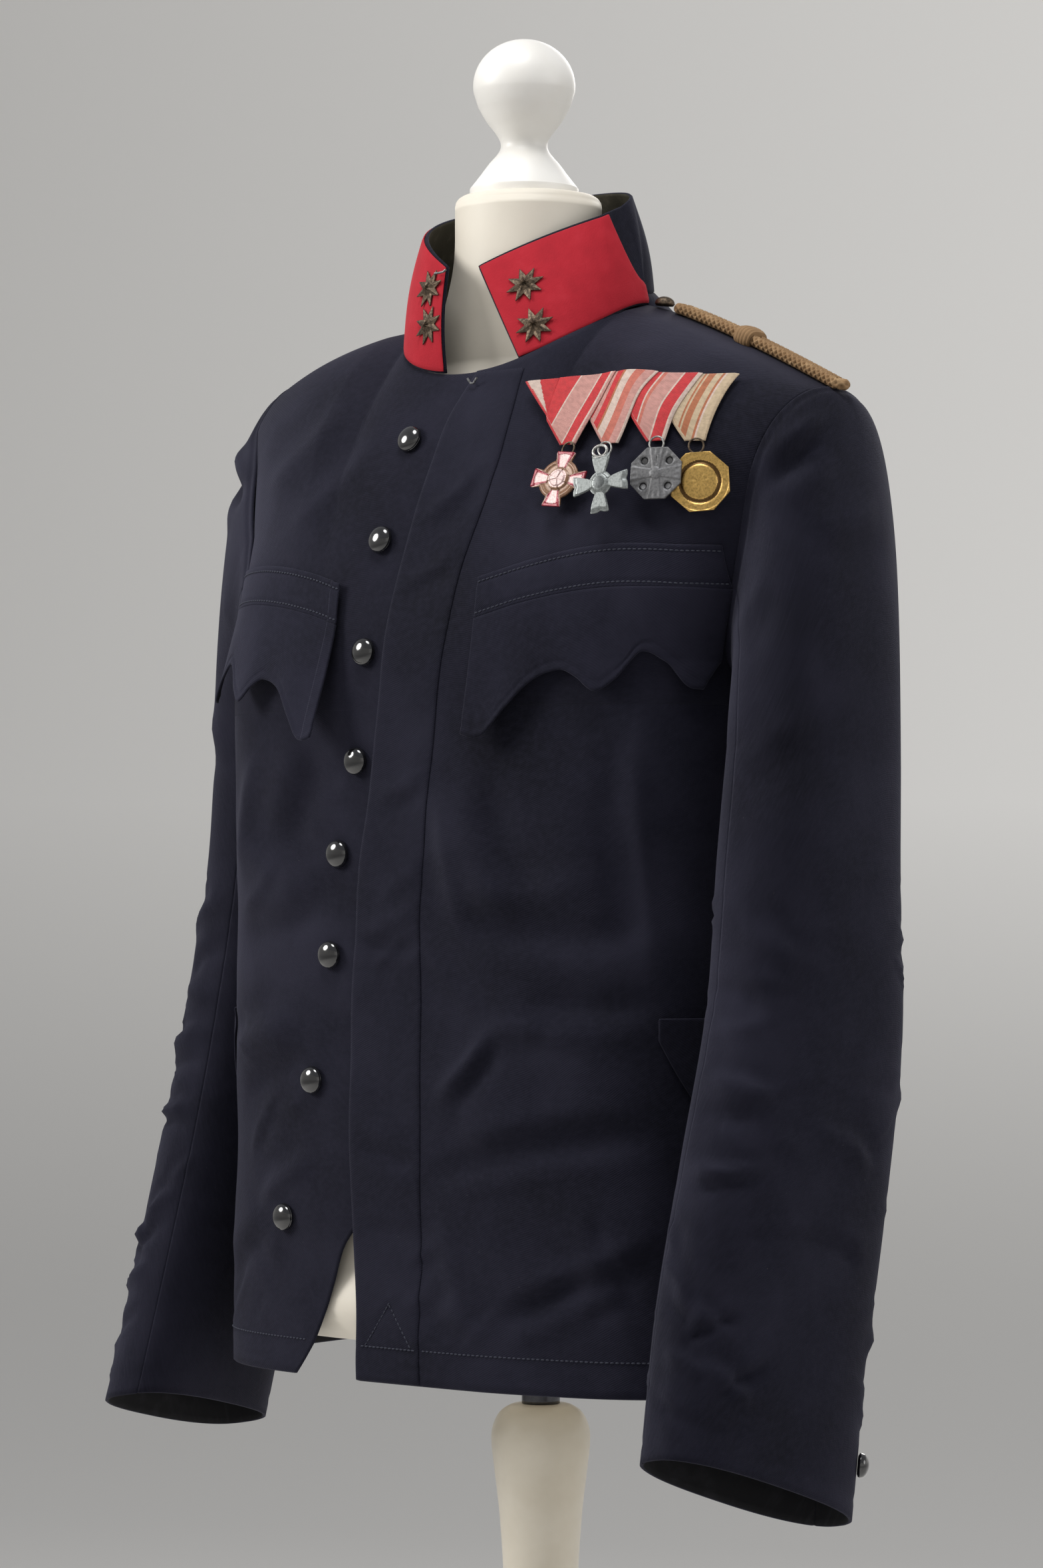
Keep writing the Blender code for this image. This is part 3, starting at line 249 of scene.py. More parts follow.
def tubePoints(path, radius, sides, closed):
    # rings of points round a path; radius may change along the path and round the ring
    path = np.asarray(path, float)
    along = np.roll(path, -1, axis=0) - np.roll(path, 1, axis=0) if closed else np.gradient(path, axis=0)
    along = unit(along)
    side = unit(np.cross(along, (0.0, 0.0, 1.0)))
    other = np.cross(side, along)
    a = evenTurns(sides)
    radius = np.broadcast_to(radius, (len(path), sides))
    return path[:, None] + radius[..., None] * (np.cos(a)[None, :, None] * side[:, None]
                                                + np.sin(a)[None, :, None] * other[:, None])


def tube(name, path, radius, look, sides=16, closed=False):
    # rings round a path joined row to row, closed into a loop or ended with flat caps
    rings = tubePoints(path, radius, sides, closed)
    count = len(rings)
    faces = [tuple(f) for f in gridFaces(count, sides, True)]
    k = np.arange(sides)
    d = (k + 1) % sides
    if closed:
        last = (count - 1) * sides
        faces += list(zip(last + k, last + d, d, k))
    else:
        faces += [tuple(k[::-1]), tuple((count - 1) * sides + k)]
    walked = lengthsAlong(np.asarray(path)[None], 1)[0]
    uv = np.broadcast_arrays((k / sides * 2 * np.pi * 0.003)[None], walked[:, None])
    uv = np.stack(uv, axis=-1).reshape(-1, 2)
    inside = rings - np.asarray(path)[:, None]
    f = np.asarray(faces[:count * sides // 2])
    p = rings.reshape(-1, 3)[f]
    turn = np.sum(np.cross(p[:, 1] - p[:, 0], p[:, 2] - p[:, 0]) * inside.reshape(-1, 3)[f[:, 0]]) < 0
    return makePiece(name, rings, faces, [look], uv, turn=turn)


# materials
def newLook(name, colour, roughness, metallic=0.0, **more):  # more names other sockets, with _ for a space
    look = bpy.data.materials.new(name)
    look.use_nodes = True
    shader = look.node_tree.nodes["Principled BSDF"]
    shader.inputs["Base Color"].default_value = (*colour, 1.0)
    shader.inputs["Roughness"].default_value = roughness
    shader.inputs["Metallic"].default_value = metallic
    for label, value in more.items():
        shader.inputs[label.replace("_", " ")].default_value = value
    return look


def addNode(look, kind, values=None, **settings):  # values go to the node's sockets, settings to the node
    node = look.node_tree.nodes.new("ShaderNode" + kind)
    for label, value in settings.items():
        setattr(node, label, value)
    for label, value in (values or {}).items():
        node.inputs[label].default_value = value
    return node


def join(look, source, output, target, socket):  # a link between two nodes
    look.node_tree.links.new(source.outputs[output], target.inputs[socket])


def intoShader(look, source, output, socket):  # a link into the look's own shader
    join(look, source, output, look.node_tree.nodes["Principled BSDF"], socket)


def mathOf(look, operation, first, second):  # a Math node on a (node, output) pair and a pair or a number
    node = addNode(look, "Math", operation=operation)
    join(look, *first, node, 0)
    if isinstance(second, tuple):
        join(look, *second, node, 1)
    else:
        node.inputs[1].default_value = second
    return node


def mixOf(look, factor, first, second, blend="MIX"):
    # a Mix node: factor is a number or a node, and each colour three numbers or a (node, output) pair
    mix = addNode(look, "Mix", data_type="RGBA", blend_type=blend)
    if isinstance(factor, bpy.types.Node):
        join(look, factor, 0, mix, 0)
    else:
        mix.inputs[0].default_value = factor
    for socket, value in ((6, first), (7, second)):
        if isinstance(value[0], bpy.types.Node):
            join(look, *value, mix, socket)
        else:
            mix.inputs[socket].default_value = (*value, 1.0)
    return mix


def stops(look, source, output, pairs, constant=False):  # a colour ramp of (place, colour) pairs on a node
    node = addNode(look, "ValToRGB")
    join(look, source, output, node, 0)
    node.color_ramp.interpolation = "CONSTANT" if constant else "LINEAR"
    band = node.color_ramp.elements
    while len(band) < len(pairs):
        band.new(0.5)
    for element, (place, colour) in zip(band, pairs):
        element.position = place
        element.color = (*colour, 1.0)
    return node


def bumpFrom(look, heights, distance):
    # heights is a list of (node, output, share); their sum drives one Bump node
    total = None
    for node, output, share in heights:
        scaled = mathOf(look, "MULTIPLY", (node, output), share)
        total = scaled if total is None else mathOf(look, "ADD", (total, 0), (scaled, 0))
    bump = addNode(look, "Bump", {"Distance": distance, "Strength": 1.0})
    join(look, total, 0, bump, "Height")
    intoShader(look, bump, 0, "Normal")


def noiseOn(look, place, output, scale, detail=3.0, rough=0.55):  # scale is in cells per metre
    node = addNode(look, "TexNoise", {"Scale": scale, "Detail": detail, "Roughness": rough})
    join(look, place, output, node, "Vector")
    return node


def twillOn(look, place, angle, pitch):  # slanted ribs: a wave across the cloth, one rib each pitch
    turn = addNode(look, "Mapping")
    turn.inputs["Rotation"].default_value = (0.0, 0.0, math.radians(angle))
    join(look, place, "UV", turn, "Vector")
    scale = 1.0 / pitch / (20 / (2 * math.pi))    # the wave has 20 / 2 pi ribs for each unit of its scale
    values = {"Scale": scale, "Distortion": 1.2, "Detail": 1.0, "Detail Scale": 2.0}
    wave = addNode(look, "TexWave", values, wave_type="BANDS")
    join(look, turn, 0, wave, "Vector")
    return wave


black, white = (0.0,) * 3, (1.0,) * 3
woolFinish = {
    "colour": (0.0098, 0.0098, 0.0180),
    "pale": (0.0175, 0.0172, 0.0295),
    "worn": (0.0060, 0.0061, 0.0110),
    "lint": (0.090, 0.088, 0.095),
    "roughness": 0.88,
    "sheen": 0.10,
    "sheenTint": (0.70, 0.70, 0.92, 1.0),
    "clouds": 9.0,           # this scale and those below are per metre
    "tufts": 240.0,
    "fibre": 1500.0,
    "lintSpecks": 150.0,
    "lintPatches": 40.0,
    "tuftShare": 0.45,
    "twillAngle": 62.0,
    "twillPitch": 0.0011,
    "bump": 0.00030,
}


def woolLook(name, finish, shift=1.0):
    # three shades in slow clouds, paler on small tufts, with sparse lint, over fibre, twill and tuft bumps;
    # shift is a factor on all the shades
    base, pale, worn = (tuple(c * shift for c in finish[k]) for k in ("colour", "pale", "worn"))
    look = newLook(name, base, finish["roughness"], Sheen_Weight=finish["sheen"], Sheen_Roughness=0.45,
                   Sheen_Tint=finish["sheenTint"], Specular_IOR_Level=0.10)
    place = addNode(look, "TexCoord")
    broad = noiseOn(look, place, "Object", finish["clouds"], 4.0, 0.6)
    fine = noiseOn(look, place, "UV", finish["fibre"], 2.0, 0.7)
    tufts = noiseOn(look, place, "UV", finish["tufts"], 3.0, 0.65)
    wash = stops(look, broad, 0, [(0.34, worn), (0.50, base), (0.68, pale)])
    flecks = stops(look, tufts, 0, [(0.40, black), (0.72, white)])
    mottled = mixOf(look, mathOf(look, "MULTIPLY", (flecks, 0), finish["tuftShare"]), (wash, 0), pale)
    cells = addNode(look, "TexVoronoi", {"Scale": finish["lintSpecks"], "Randomness": 1.0})
    join(look, place, "UV", cells, "Vector")
    specks = stops(look, cells, "Distance", [(0.030, white), (0.060, black)])
    sparse = noiseOn(look, place, "UV", finish["lintPatches"], 1.0)
    patches = stops(look, sparse, 0, [(0.60, black), (0.66, (0.5,) * 3)])
    dusty = mixOf(look, mathOf(look, "MULTIPLY", (specks, 0), (patches, 0)), (mottled, 2), finish["lint"])
    intoShader(look, dusty, 2, "Base Color")
    twill = twillOn(look, place, finish["twillAngle"], finish["twillPitch"])
    bumpFrom(look, [(fine, 0, 0.55), (twill, "Fac", 0.25), (tufts, 0, 0.7)], finish["bump"])
    return look


def feltLook(name, colour, pale, fibre=900.0, bump=0.00018, sheen=0.35):
    # a slow wash between two shades over fine fibre bumps, with a sheen in a paler tint of the colour
    look = newLook(name, colour, 0.90, Sheen_Weight=sheen, Sheen_Roughness=0.40, Specular_IOR_Level=0.2,
                   Sheen_Tint=(*[min(1.0, c * 1.6 + 0.15) for c in colour], 1.0))
    place = addNode(look, "TexCoord")
    broad = noiseOn(look, place, "UV", 60.0, 4.0, 0.6)
    fine = noiseOn(look, place, "UV", fibre, 2.0, 0.7)
    wash = stops(look, broad, 0, [(0.32, tuple(c * 0.90 for c in colour)), (0.52, colour), (0.74, pale)])
    intoShader(look, wash, 0, "Base Color")
    bumpFrom(look, [(fine, 0, 1.0), (broad, 0, 0.6)], bump)
    return look


def metalLook(name, colour, dark, roughness, scale=700.0, bump=0.00006):
    # metal that is darker and rougher where a noise puts grime
    look = newLook(name, colour, roughness, 0.92)
    place = addNode(look, "TexCoord")
    grime = noiseOn(look, place, "Object", scale, 4.0, 0.65)
    wash = stops(look, grime, 0, [(0.38, dark), (0.60, colour)])
    intoShader(look, wash, 0, "Base Color")
    rough = addNode(look, "MapRange", {"To Min": roughness + 0.14, "To Max": roughness - 0.05})
    join(look, grime, 0, rough, "Value")
    intoShader(look, rough, 0, "Roughness")
    bumpFrom(look, [(grime, 0, 1.0)], bump)
    return look


def smoothLook(name, colour, dark, roughness, scale, bump, **more):
    # paint, horn or stretched cover: a slow wash between two shades, and a grain 30 times finer in the bump
    look = newLook(name, colour, roughness, **more)
    place = addNode(look, "TexCoord")
    broad = noiseOn(look, place, "Object", scale, 5.0, 0.6)
    fine = noiseOn(look, place, "Object", scale * 30.0, 2.0, 0.6)
    wash = stops(look, broad, 0, [(0.30, dark), (0.62, colour)])
    intoShader(look, wash, 0, "Base Color")
    bumpFrom(look, [(fine, 0, 1.0), (broad, 0, 0.5)], bump)
    return look


stripeSpan = 64.0            # millimetres that a ribbon's stripe mark covers from 0 to 1


def stripeLook(name, bands):
    # silk stripes from the ribbon's stripe mark; bands is (start in mm from the ribbon's right edge, colour)
    look = newLook(name, bands[0][1], 0.62, Sheen_Weight=0.25, Sheen_Roughness=0.3, Specular_IOR_Level=0.35)
    across = addNode(look, "Attribute", attribute_name="stripe")
    band = stops(look, across, "Fac", [(start / stripeSpan, colour) for start, colour in bands], True)
    place = addNode(look, "TexCoord")
    worn = noiseOn(look, place, "UV", 320.0, 3.0)
    shade = stops(look, worn, 0, [(0.35, (0.80,) * 3), (0.62, white)])
    intoShader(look, mixOf(look, 1.0, (band, 0), (shade, 0), "MULTIPLY"), 2, "Base Color")
    ribs = twillOn(look, place, 58.0, 0.0009)
    bumpFrom(look, [(ribs, "Fac", 1.0), (worn, 0, 0.3)], 0.00012)
    return look


def enamelLook(name, tints, roughness, metallic):  # colours picked by a medal's tint mark, under grime
    look = newLook(name, tints[0], roughness, metallic)
    mark = addNode(look, "Attribute", attribute_name="tint")
    band = stops(look, mark, "Fac", [(k / len(tints), colour) for k, colour in enumerate(tints)], True)
    place = addNode(look, "TexCoord")
    grime = noiseOn(look, place, "Object", 900.0, 4.0)
    shade = stops(look, grime, 0, [(0.34, (0.55,) * 3), (0.58, white)])
    intoShader(look, mixOf(look, 0.8, (band, 0), (shade, 0), "MULTIPLY"), 2, "Base Color")
    bumpFrom(look, [(grime, 0, 1.0)], 0.00006)
    return look


wool = woolLook("navyWool", woolFinish)
# painted light: the pocket bands and flaps get a copy of the wool made 10% paler all over
litWoolTrim = woolLook("navyWoolTrimLit", woolFinish, 1.10)
lining = feltLook("darkLining", (0.012, 0.012, 0.014), (0.022, 0.022, 0.026), 1400.0, 0.0001, 0.1)
collarLining = feltLook("collarLining", (0.060, 0.055, 0.040), (0.11, 0.10, 0.075), 900.0, 0.0002, 0.15)
felt = feltLook("redFelt", (0.400, 0.0160, 0.0280), (0.44, 0.022, 0.036))
thread = feltLook("navyThread", (0.045, 0.048, 0.066), (0.075, 0.08, 0.10), 2500.0, 0.00005)
hornBlack = smoothLook("blackButton", (0.0060, 0.0060, 0.0070), (0.004, 0.004, 0.005), 0.16, 90.0, 0.000006,
                       Coat_Weight=1.0, Coat_Roughness=0.04, Coat_IOR=1.65)
brass = metalLook("dullBrass", (0.175, 0.130, 0.090), (0.060, 0.046, 0.036), 0.48)
braid = feltLook("goldBraid", (0.300, 0.185, 0.095), (0.50, 0.34, 0.19), 1800.0, 0.00016, 0.2)
steel = metalLook("hookSteel", (0.30, 0.30, 0.31), (0.12, 0.12, 0.12), 0.35)
cream = smoothLook("creamCover", (0.800, 0.750, 0.655), (0.720, 0.660, 0.560), 0.52, 7.0, 0.00006,
                   Specular_IOR_Level=0.4)
paint = smoothLook("whiteGloss", (0.88, 0.865, 0.83), (0.82, 0.79, 0.73), 0.42, 12.0, 0.00002,
                   Coat_Weight=0.12, Coat_Roughness=0.22)
standWood = smoothLook("creamWood", (0.78, 0.73, 0.63), (0.66, 0.60, 0.49), 0.34, 10.0, 0.00004)
chrome = metalLook("chromeRod", (0.14, 0.14, 0.15), (0.08, 0.08, 0.09), 0.20, 60.0, 0.000005)
silver = metalLook("silverLoop", (0.46, 0.46, 0.44), (0.20, 0.20, 0.19), 0.34)
print("materials made")

# the bodice: one surface for both fronts, the back and all that lies on them
bodice = {
    "cloth": 0.0020,
    "trim": 0.0011,
    "band": 0.0007,          # thickness of the fly band
    "seam": 0.0003,
    "hem": 0.800,
    "armpit": 1.190,
    "dome": 1.215,           # above this the chest rounds back to the shoulder line
    "neckX": {"left": 0.080, "right": 0.071},
    "neckPoint": 1.430,
    "neckFront": 1.3885,
    "neckBack": 1.449,
    "neckRise": 0.044,
    "shoulderX": {"left": 0.2205, "right": 0.2050},
    "shoulderZ": {"left": 1.371, "right": 1.404},
    "shoulderCurve": {"left": 1.2, "right": 1.5},
    "shoulderTurn": {"left": -0.10, "right": 0.20},
    "section": 3.5,          # superellipse exponent of a cross-section
    "hollow": 2.5,           # the same at the right front's shoulder
    "waist": (0.182, 0.127),         # half width and depth of the section that distances are taken round
    "lap": 0.0030,           # how far the left front lies above the right one
    "rings": np.array([      # height, half width left and right, depth in front and behind
        (0.800, 0.184, 0.184, 0.128, 0.120),
        (0.950, 0.182, 0.182, 0.127, 0.114),
        (1.080, 0.181, 0.181, 0.127, 0.110),
        (1.215, 0.186, 0.184, 0.127, 0.118),
        (1.300, 0.218, 0.196, 0.127, 0.122),
        (1.345, 0.238, 0.218, 0.127, 0.122),
        (1.372, 0.250, 0.236, 0.127, 0.122),
        (1.480, 0.250, 0.236, 0.127, 0.122),
    ]),
    "armhole": {             # share of its height, polar angle of the section in front and behind
        "left": np.array([
            (0.000, 0.0, 0.0),
            (0.008, 2.5, 3.0),
            (0.043, 8.5, 11.0),
            (0.118, 15.5, 21.0),
            (0.225, 20.0, 28.0),
            (0.400, 24.0, 34.0),
            (0.575, 28.0, 38.0),
            (0.735, 32.5, 40.0),
            (0.870, 35.0, 39.5),
            (1.000, 36.6, 36.6),
        ]),
        "right": np.array([
            (0.000, 0.0, 0.0),
            (0.008, 2.5, 3.0),
            (0.043, 9.4, 11.0),
            (0.118, 19.0, 21.0),
            (0.225, 26.0, 28.0),
            (0.400, 33.0, 34.0),
            (0.575, 37.0, 38.0),
            (0.735, 39.5, 40.0),
            (0.870, 39.5, 40.0),
            (1.000, 38.6, 38.6),
        ]),
    },
    "fly": np.array([        # height, left front's free edge, inner edge of its fly band
        (0.800, -0.0339, 0.0139),
        (0.867, -0.0355, 0.0137),
        (0.935, -0.0393, 0.0132),
        (1.005, -0.0396, 0.0127),
        (1.053, -0.0363, 0.0129),
        (1.100, -0.0333, 0.0147),
        (1.168, -0.0211, 0.0227),
        (1.218, -0.0146, 0.0299),
        (1.270, -0.0095, 0.0377),
        (1.298, -0.0048, 0.0437),
        (1.330, -0.0004, 0.0507),
        (1.357, 0.0037, 0.0517),
        (1.390, 0.0147, 0.0492),
        (1.420, 0.0167, 0.0492),
    ]),
    "underEdge": np.array([  # right front's free edge with its cut-away corner
        (0.800, -0.0865),
        (0.806, -0.0818),
        (0.820, -0.0716),
        (0.836, -0.0637),
        (0.856, -0.0558),
        (0.8775, -0.0466),
        (0.900, -0.0280),
        (0.930, -0.0130),
        (1.000, -0.0130),
        (1.168, 0.0060),
        (1.270, 0.0170),
        (1.357, 0.0300),
        (1.420, 0.0300),
    ]),
}
rings = bodice["rings"]


def shoulderLine(x, side):
    # falls from the neck point as a power of the run, and rises inside the neck as a parabola
    neck = bodice["neckX"][side]
    run = np.clip((np.abs(x) - neck) / (bodice["shoulderX"][side] - neck), 0.0, None)
    drop = (bodice["neckPoint"] - bodice["shoulderZ"][side]) * run ** bodice["shoulderCurve"][side]
    return bodice["neckPoint"] - drop + bodice["neckRise"] * np.clip(1.0 - (x / neck) ** 2, 0.0, None)


def shoulderTurn(x, z):  # how far the shoulders swing back: a slope on the run past 0.10, faded in by height
    turn = np.where(x >= 0, bodice["shoulderTurn"]["left"], bodice["shoulderTurn"]["right"])
    return turn * np.clip(np.abs(x) - 0.10, 0.0, None) * ramp((z - 1.27) / 0.10)


def bodiceY(x, z, back=False):
    # a superellipse across and, above the dome height, a second one up to the shoulder line
    x, z = np.asarray(x, float), np.asarray(z, float)
    depth = column(rings, z, 4) if back else -column(rings, z, 3)
    half = np.where(x >= 0, column(rings, z, 1), column(rings, z, 2))
    share = np.clip(np.abs(x) / half, 0.0, 1.0)
    section = bodice["section"]
    if not back:
        section = section + (bodice["hollow"] - section) * ramp((z - 1.20) / 0.09) * (x < 0)
    flat = depth * (1.0 - share ** section) ** (1.0 / section)
    line = np.where(x >= 0, shoulderLine(x, "left"), shoulderLine(x, "right"))
    rise = np.clip((z - bodice["dome"]) / (line - bodice["dome"]), 0.0, 1.0)
    low = 2.2 if back else 1.55
    power = low + (2.1 - low) * ramp(np.abs(x) / 0.18)
    return flat * (1.0 - rise ** power) ** (1.0 / power) + shoulderTurn(x, z)


angles = np.radians(np.linspace(0.0, 90.0, 721))
halfRing = np.stack([bodice["waist"][0] * np.cos(angles) ** (2 / bodice["section"]),
                     bodice["waist"][1] * np.sin(angles) ** (2 / bodice["section"])], axis=1)
steps = np.linalg.norm(np.diff(halfRing, axis=0), axis=1)
reach = np.concatenate([[0.0], np.cumsum(steps[::-1])])[::-1]  # from the front's middle to each angle


def reachOfX(x, z):  # distance round the body from the front's middle to x, from the section's polar angle
    half = np.where(x >= 0, column(rings, z, 1), column(rings, z, 2))
    angle = np.arccos(np.clip(np.abs(x) / half, 0.0, 1.0) ** (bodice["section"] / 2))
    return np.sign(x) * np.interp(angle, angles, reach)


def xOfReach(far, z):  # the x at a distance round the body, the inverse of reachOfX
    half = np.where(far >= 0, column(rings, z, 1), column(rings, z, 2))
    angle = np.interp(-np.abs(far), -reach, angles)
    return np.sign(far) * half * np.cos(angle) ** (2 / bodice["section"])


def neckline(x, side, back):  # an ellipse that dips from the neck point to its low point in the middle
    run = np.sqrt(np.clip(1.0 - (np.abs(x) / bodice["neckX"][side]) ** 2, 0.0, 1.0))
    low = bodice["neckBack"] if back else bodice["neckFront"]
    return bodice["neckPoint"] + (low - bodice["neckPoint"]) * run


def topEdge(x, side, back):  # the neckline inside the neck and the shoulder line outside it
    return np.where(np.abs(x) < bodice["neckX"][side], neckline(x, side, back), shoulderLine(x, side))


def panelGrid(side, back, columns, innerEdge, lowRows=84, highRows=66):
    # rows from hem to top; columns share out the distance from the inner edge to the side or the armhole,
    # and eight rounds settle the upper rows' heights under the shoulder line
    sign = signOf(side)
    shares = np.linspace(0.0, 1.0, columns)[None]
    z = np.linspace(bodice["hem"], bodice["armpit"], lowRows)[:-1, None]
    start = reachOfX(innerEdge(z), z)
    low = xOfReach(start + (sign * reach[0] - start) * shares, z)
    low = np.stack([low, z + 0.0 * low], axis=-1)
    t = (np.linspace(0.0, 1.0, highRows) ** 1.5)[:, None]
    armholeZ = bodice["armpit"] + t * (bodice["shoulderZ"][side] - bodice["armpit"])
    turn = np.radians(softColumn(bodice["armhole"][side], t, 2 if back else 1))
    end = sign * np.interp(turn, angles, reach)
    z = armholeZ + 0.0 * shares
    for _ in range(8):
        start = reachOfX(innerEdge(z[:, :1]), z[:, :1])
        x = xOfReach(start + (end - start) * shares, z)
        z = bodice["armpit"] + t * (topEdge(x, side, back) - bodice["armpit"])
    grid = np.concatenate([low, np.stack([x, z], axis=-1)])
    x, z = grid[..., 0], grid[..., 1]
    return np.stack([x, bodiceY(x, z, back), z], axis=-1)


def surfaceNormal(x, z, back=False):  # from the surface's slopes, each taken over 3 mm
    step = 0.0015
    slopeX = (bodiceY(x + step, z, back) - bodiceY(x - step, z, back)) / (2 * step)
    slopeZ = (bodiceY(x, z + step, back) - bodiceY(x, z - step, back)) / (2 * step)
    out = -1.0 if not back else 1.0
    return unit(np.stack([-out * slopeX, out + 0.0 * slopeX, -out * slopeZ], axis=-1))


folds = {"height": 1.25, "swell": 0.0007, "deepest": 0.0055}     # factor on all folds, then metres
# x and z of each fold's two ends, width, height (below 0 a trough) and bend, in millimetres
frontFoldRows = np.array([
    (26, 966, 64, 1004, 6, 4.2, 3), (60, 1004.5, 100, 1003.5, 7, 2.4, -2),
    (18, 1047, 60, 1010, 4, 1.6, 1), (22, 921, 158, 946, 8.5, -4, -6), (40, 941, 150, 962, 11, 3, -4),
    (40, 1070, 160, 1061, 10, -3, 6), (45, 1085, 130, 1090, 12, 2.2, 4),
    (88, 1023, 160, 1020, 9, -3.4, 2), (70, 840, 130, 874, 8, -3.6, 3), (78, 858, 160, 893, 8.5, 3.6, 5),
    (127, 906, 141, 868, 5.5, -1.2, 1), (140, 870, 155, 842, 5.5, -1.1, 1),
    (120, 850, 146, 862, 5, 1.8, 0), (60, 1150, 100, 1075, 14, -4, 6),
    (125, 1140, 150, 1060, 15, -3.4, -6), (150, 1180, 158, 1040, 8, 2.6, 3),
    (28, 1140, 46, 1060, 10, 2.4, 2), (30, 900, 52, 826, 12, 1.8, 3), (-34, 936.4, 14, 925.9, 6, -1.6, 1),
    (-36, 1054, 12, 1052, 5, -1.4, 1), (-30, 1058, 10, 1072, 7, 1.2, 0), (-30, 900, 10, 893, 5, 1, 1),
    (-18, 1140, 18, 1152, 6, 1.1, 1), (2, 1300, 40, 1330, 7, 1.6, 3), (-6, 1262, 34, 1280, 5, 1, 2),
    (55, 1345, 95, 1300, 10, -1.6, 4), (150, 1330, 168, 1285, 11, -3.6, 4),
    (110, 1395, 175, 1345, 14, 2.6, 6), (-60, 1075, -150, 1060, 11, -3.2, -5),
    (-70, 1090, -140, 1110, 13, 2.6, -4), (-75, 985, -140, 960, 10, -3, 4),
    (-85, 1005, -155, 985, 11, 2.8, 3), (-70, 925, -120, 900, 8, 2.2, 2),
    (-110, 880, -160, 850, 9, -2.4, 2), (-70, 1170, -95, 1110, 13, -3.4, -4),
    (-125, 1165, -140, 1090, 13, 3, 4), (-50, 1345, -110, 1300, 13, 1.8, -4),
    (-85, 1370, -150, 1330, 14, 2.2, -5),
]) / 1000.0
smallFrontFolds = scatteredFolds(11, 44, (-0.165, 0.83), (0.165, 1.20), (0.02, 0.07), (5, 55), (0.003, 0.006),
                                 (-0.0010, 0.0013))
backFoldRows = np.array([
    (-140, 1070, 135, 1060, 14, -4, 10), (-120, 1100, 60, 1095, 13, 3.4, -6),
    (-20, 1040, 150, 1020, 11, 3, 6), (-150, 1020, -40, 985, 10, -3, 4),
    (-60, 1190, -30, 1090, 15, 3.6, 6), (70, 1200, 40, 1100, 14, 3.4, -6),
    (-100, 960, -80, 830, 15, -3, 4), (90, 950, 100, 835, 16, -3.4, -3), (0, 930, 10, 840, 14, 2.8, 2),
    (-150, 1310, -110, 1220, 12, 3.6, -4), (155, 1320, 110, 1225, 12, 3.6, 4),
    (-120, 1380, 110, 1375, 17, 1.6, 4),
]) / 1000.0
smallBackFolds = scatteredFolds(23, 26, (-0.160, 0.83), (0.160, 1.30), (0.03, 0.09), (5, 50), (0.004, 0.009),
                                (-0.0012, 0.0014))


def foldsAt(x, z, back=False):
    # listed folds, small scattered ones and a slow swell, faded out towards the seams
    half = np.where(x >= 0, column(rings, z, 1), column(rings, z, 2))
    line = np.where(x >= 0, shoulderLine(x, "left"), shoulderLine(x, "right"))
    calm = ramp((half - np.abs(x)) / 0.030) * ramp((line - z) / 0.035)
    calm = calm * ramp((z - bodice["hem"] + 0.012) / 0.03)
    if back:
        field = foldField(x, z, backFoldRows) + foldField(x, z, smallBackFolds)
    else:
        field = foldField(x, z, frontFoldRows) + foldField(x, z, smallFrontFolds)
        field = field * (1.0 - 0.75 * ramp((z - 1.172) / 0.012) * ramp((1.285 - z) / 0.012)
                         * ramp((np.abs(x) - 0.046) / 0.010))  # flat under the pocket's band and flap
    waves = np.sin(31 * x + 17 * z) + np.sin(47 * z - 23 * x + 1.3) + 0.6 * np.sin(83 * z + 61 * x + 0.4)
    field = folds["height"] * field + folds["swell"] * waves
    return np.where(field < 0, folds["deepest"] * np.tanh(field / folds["deepest"]), field) * calm


def lapAt(x):  # the left front's lift over the right one, faded out towards the side
    return bodice["lap"] * ramp((0.115 - x) / 0.06)


def onFront(x, z, lift):  # a point moved out from the front's folded surface, clear of the lap
    x, z = np.broadcast_arrays(np.asarray(x, float), np.asarray(z, float))
    normal = surfaceNormal(x, z)
    points = np.stack([x, bodiceY(x, z), z], axis=-1) + normal * (lift + foldsAt(x, z))[..., None]
    points[..., 1] -= np.where(x > -0.06, lapAt(x), 0.0)
    return points, normal


def pressedLine(x, z, rows, width, depth):  # a narrow groove along a polyline of (x, z) rows
    total = np.zeros_like(x)
    for (x0, z0), (x1, z1) in zip(rows[:-1], rows[1:]):
        t = np.clip(((x - x0) * (x1 - x0) + (z - z0) * (z1 - z0)) / ((x1 - x0)**2 + (z1 - z0)**2), 0.0, 1.0)
        gap = np.hypot(x - x0 - t * (x1 - x0), z - z0 - t * (z1 - z0))
        total = np.minimum(total, -depth * hump(gap, width))
    return total


hemLine = 0.8200             # height of the hem's row of stitches
hemGroove = (0.0014, 0.0006)         # half width and depth of the line it presses into the cloth


def buildFront(side):
    # one front with its folds and hem line; the seams with the back are cut at the shoulder's turn
    sign = signOf(side)
    table = bodice["fly"] if side == "left" else bodice["underEdge"]
    outer = panelGrid(side, False, 116, lambda z: softColumn(table, z, 1))
    normal = gridNormals(outer, np.array([0.0, -1.0, 0.0]))
    x, z = outer[..., 0].copy(), outer[..., 2].copy()
    relief = foldsAt(x, z)
    relief = relief + pressedLine(x, z, [(0.014 * sign, hemLine), (0.19 * sign, hemLine)], *hemGroove)
    outer = outer + normal * relief[..., None]
    if side == "left":
        outer[..., 1] -= lapAt(x)
    inner = outer - bodice["cloth"] * normal
    for points in (outer, inner):
        seamY = shoulderTurn(points[..., 0], points[..., 2])
        points[..., 1] = np.minimum(points[..., 1], seamY - bodice["seam"] / 2)
    inner[..., 0] = sign * np.minimum(sign * inner[..., 0], sign * outer[:, -1:, 0])
    piece = clothSheet(side + "Front", outer, normal, bodice["cloth"], [wool, lining],
                       inner=inner)
    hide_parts("front_" + side)


